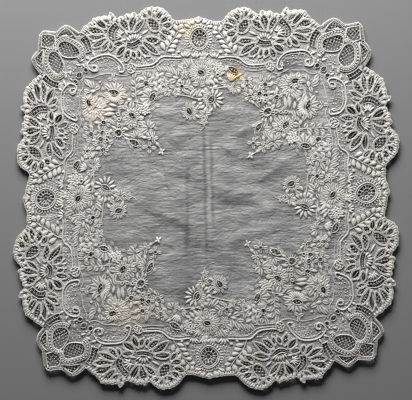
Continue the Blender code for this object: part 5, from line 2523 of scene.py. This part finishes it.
@dataclass(frozen=True)
class ThreadFinish:
    """White cotton thread, laid side by side over padding, with painted shade at the foot of each stitch and
    in the grooves between its threads.
    """

    name: str
    colour: tuple[float, float, float, float] = (0.88, 0.875, 0.855, 1.0)
    roughness: float = 0.62
    pitch: float = 0.5 * MM
    slant: float = 0.35
    relief: float = 0.35
    # How strongly painted shade darkens the grooves between threads.
    shade: float = 0.14
    # Painted shade at a stitch's foot: the colour is darkened to the first share at its bottom, and reaches
    # full brightness at the second share of its height.
    groove: float = 0.04
    foot_shade_rise: float = 0.8

    def material(self, groups: dict[str, bpy.types.NodeTree]) -> bpy.types.Material:
        """Build the material.

        Args:
            groups: The shared node groups by name.

        Returns:
            The material.
        """
        material = bpy.data.materials.new(self.name)
        material.use_nodes = True
        tree = material.node_tree
        shader = tree.nodes["Principled BSDF"]
        threads = tree.nodes.new("ShaderNodeGroup")
        threads.node_tree = groups["threads"]
        threads.inputs["Pitch"].default_value = self.pitch
        threads.inputs["Slant"].default_value = self.slant
        threads.inputs["Depth"].default_value = self.shade
        place = add_node(tree, "ShaderNodeTexCoord").outputs["Object"]
        cloud = add_node(tree, "ShaderNodeTexNoise", {}, {"Vector": place, "Scale": 55.0, "Detail": 4.0})
        warmth = add_node(
            tree,
            "ShaderNodeMapRange",
            {},
            {"Value": cloud.outputs["Fac"], "From Min": 0.35, "From Max": 0.7, "To Min": 0.0, "To Max": 1.0},
        )
        deeper = tuple(channel * share for channel, share in zip(self.colour, (0.93, 0.91, 0.87))) + (1.0,)
        colour = mix_colours(tree, warmth.outputs[0], self.colour, deeper)
        colour = mix_colours(tree, 1.0, colour, threads.outputs["Shade"], "MULTIPLY")
        # Painted shade: the colour darkens towards each stitch's foot, following its rise attribute.
        rise = add_node(tree, "ShaderNodeAttribute", {"attribute_name": "rise"}).outputs["Fac"]
        depth = add_node(
            tree,
            "ShaderNodeMapRange",
            {"interpolation_type": "SMOOTHSTEP"},
            {
                "Value": rise,
                "From Min": 0.0,
                "From Max": self.foot_shade_rise,
                "To Min": self.groove,
                "To Max": 1.0,
            },
        )
        colour = mix_colours(tree, 1.0, colour, depth.outputs["Result"], "MULTIPLY")
        stains = tree.nodes.new("ShaderNodeGroup")
        stains.node_tree = groups["stains"]
        tree.links.new(colour, stains.inputs["Color"])
        tree.links.new(stains.outputs["Color"], shader.inputs["Base Color"])
        shader.inputs["Roughness"].default_value = self.roughness
        shader.inputs["Sheen Weight"].default_value = 0.12
        bump = add_node(
            tree,
            "ShaderNodeBump",
            {},
            {"Strength": self.relief, "Distance": 0.25 * self.pitch, "Height": threads.outputs["Height"]},
        )
        tree.links.new(bump.outputs["Normal"], shader.inputs["Normal"])
        return material


@dataclass(frozen=True)
class LawnFinish:
    """Sheer greyed lawn, closely covered with stitches where its cover attribute says so."""

    name: str = "sheer_lawn"
    sheer: tuple[float, float, float, float] = (0.64, 0.64, 0.65, 1.0)
    covered: tuple[float, float, float, float] = (0.52, 0.52, 0.515, 1.0)
    sheer_alpha: float = 0.42
    covered_alpha: float = 0.92
    crumple: float = 1.5 * MM

    def material(self, groups: dict[str, bpy.types.NodeTree]) -> bpy.types.Material:
        """Build the material.

        Args:
            groups: The shared node groups by name.

        Returns:
            The material.
        """
        material = bpy.data.materials.new(self.name)
        material.use_nodes = True
        tree = material.node_tree
        shader = tree.nodes["Principled BSDF"]
        weave = tree.nodes.new("ShaderNodeGroup")
        weave.node_tree = groups["weave"]
        cover = add_node(tree, "ShaderNodeAttribute", {"attribute_name": "cover"}).outputs["Fac"]
        colour = mix_colours(tree, cover, self.sheer, self.covered)
        # The weave's shade holds the yarn streaks, and painted shade and painted highlights along the
        # creases.
        colour = mix_colours(tree, 1.0, colour, weave.outputs["Shade"], "MULTIPLY")
        stains = tree.nodes.new("ShaderNodeGroup")
        stains.node_tree = groups["stains"]
        tree.links.new(colour, stains.inputs["Color"])
        tree.links.new(stains.outputs["Color"], shader.inputs["Base Color"])
        alpha = add_node(
            tree,
            "ShaderNodeMapRange",
            {},
            {"Value": cover, "To Min": self.sheer_alpha, "To Max": self.covered_alpha},
        )
        tree.links.new(alpha.outputs["Result"], shader.inputs["Alpha"])
        shader.inputs["Roughness"].default_value = 0.85
        bump = add_node(
            tree,
            "ShaderNodeBump",
            {},
            {"Strength": 0.25, "Distance": 0.08 * MM, "Height": weave.outputs["Height"]},
        )
        crumple = add_node(
            tree,
            "ShaderNodeBump",
            {},
            {
                "Strength": 1.0,
                "Distance": self.crumple,
                "Height": weave.outputs["Crumple"],
                "Normal": bump.outputs["Normal"],
            },
        )
        tree.links.new(crumple.outputs["Normal"], shader.inputs["Normal"])
        return material


@dataclass
class Studio:
    """The floor, the lights and the camera straight above."""

    picture: tuple[int, int] = (412, 400)
    pixel: float = 1.15 * MM
    cloth_pixel: tuple[float, float] = (205.8, 197.5)
    cloth_turn: float = 1.54
    lens: float = 100.0
    sensor: float = 36.0
    floor_size: float = 6.0
    floor_level: float = -1.6 * MM
    floor_colour: tuple[float, float, float, float] = (0.29, 0.29, 0.3, 1.0)
    key_height: float = 18.0
    key_way: float = 96.0
    key_power: float = 58.0
    fill: float = 0.05

    def build(self, cloth: Cloth) -> None:
        """Set up the floor, the lights and the camera.

        Args:
            cloth: The cloth, whose middle the camera's place is worked out from.
        """
        self.add_floor()
        self.add_lights()
        self.add_camera(cloth)

    def add_floor(self) -> None:
        """Add the plain floor just under the cloth."""
        plane = bmesh.new()
        bmesh.ops.create_grid(plane, x_segments=1, y_segments=1, size=0.5 * self.floor_size)
        mesh = bpy.data.meshes.new("floor")
        plane.to_mesh(mesh)
        plane.free()
        material = bpy.data.materials.new("pale_floor")
        material.use_nodes = True
        shader = material.node_tree.nodes["Principled BSDF"]
        shader.inputs["Base Color"].default_value = self.floor_colour
        shader.inputs["Roughness"].default_value = 0.95
        mesh.materials.append(material)
        floor = bpy.data.objects.new("floor", mesh)
        floor.location.z = self.floor_level
        bpy.context.scene.collection.objects.link(floor)

    def add_lights(self) -> None:
        """Add a soft raking light from the top of the picture, and an even fill."""
        light = bpy.data.lights.new("key_light", "AREA")
        light.shape = "RECTANGLE"
        light.size = 1.2
        light.size_y = 0.5
        light.energy = self.key_power
        light.color = (1.0, 0.985, 0.96)
        lamp = bpy.data.objects.new("key_light", light)
        height, way = math.radians(self.key_height), math.radians(self.key_way)
        distance = 1.6
        place = Vector((math.cos(way) * math.cos(height), math.sin(way) * math.cos(height), math.sin(height)))
        lamp.location = place * distance
        lamp.rotation_euler = place.to_track_quat("Z", "Y").to_euler()
        bpy.context.scene.collection.objects.link(lamp)
        world = bpy.data.worlds.new("studio_fill")
        world.use_nodes = True
        background = world.node_tree.nodes["Background"]
        background.inputs["Color"].default_value = (0.93, 0.96, 1.0, 1.0)
        background.inputs["Strength"].default_value = self.fill
        bpy.context.scene.world = world
        bpy.context.scene.view_settings.view_transform = "Standard"
        bpy.context.scene.view_settings.look = "Medium High Contrast"

    def add_camera(self, cloth: Cloth) -> None:
        """Add the camera, straight above and turned by the cloth's slight turn in the picture.

    Args:
        cloth: The cloth that it looks at.
    """
        width = self.picture[0] * self.pixel
        camera = bpy.data.cameras.new("camera")
        camera.lens = self.lens
        camera.sensor_width = self.sensor
        camera.sensor_fit = "HORIZONTAL"
        camera.clip_end = 20.0
        holder = bpy.data.objects.new("camera", camera)
        across = (0.5 * self.picture[0] - self.cloth_pixel[0]) * self.pixel
        up = (self.cloth_pixel[1] - 0.5 * self.picture[1]) * self.pixel
        turn = math.radians(-self.cloth_turn)
        x = across * math.cos(turn) - up * math.sin(turn) - cloth.middle[0]
        y = across * math.sin(turn) + up * math.cos(turn) - cloth.middle[1]
        holder.location = (x, y, self.lens / self.sensor * width)
        holder.rotation_euler = (0.0, 0.0, turn)
        bpy.context.scene.collection.objects.link(holder)
        bpy.context.scene.camera = holder


def cut_area(loops: Sequence[np.ndarray]) -> float:
    """The area of a sheet with holes.

    Args:
        loops: Its outline first, and then the outline of each hole.

    Returns:
        The area, in square metres.
    """
    areas = []
    for loop in loops:
        following = np.roll(loop, -1, axis=0)
        areas.append(0.5 * abs(np.sum(loop[:, 0] * following[:, 1] - loop[:, 1] * following[:, 0])))
    return float(areas[0] - sum(areas[1:]))


def main() -> None:
    """Build every piece in order, dress it, and set the scene."""
    logging.basicConfig(level=logging.INFO, format="%(message)s")
    guard_openings()
    edge = Cloth().pulled(outer_edge(4.2 * MM))
    middle = 0.5 * (edge.max(axis=0) + edge.min(axis=0))
    cloth = Cloth(middle=(float(middle[0]), float(middle[1])))
    groups = {"stains": stain_group(), "threads": thread_group(), "weave": weave_group()}
    satin = ThreadFinish("satin_thread").material(groups)
    cord = ThreadFinish("cord_thread", slant=1.0).material(groups)
    net = ThreadFinish("net_thread", colour=(0.78, 0.775, 0.76, 1.0), roughness=0.75).material(groups)
    lawn_sheet = LawnSheet(cloth)
    lawn = lawn_sheet.build(LawnFinish().material(groups))
    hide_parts(NODE)
    stitched = [
        ScallopedEdge(cloth).build(cord),
        WindowRims(cloth).build(cord),
        NetFillings(cloth).build(net),
        CornerRopes(cloth).build(cord),
        SideMedallions(cloth).build(cord),
        SeedStitches(cloth).build(satin),
        SCROLLS.build(cloth, cord),
        FAN_SATIN.build(cloth, satin),
        CORNER_SPRAY.build(cloth, satin),
        SIDE_SPRAY.build(cloth, satin),
        CORNER_ROSES.build(cloth, satin),
    ]
    cut_area(lawn_sheet.loops())
    Studio().build(cloth)


if __name__ == "__main__":
    main()
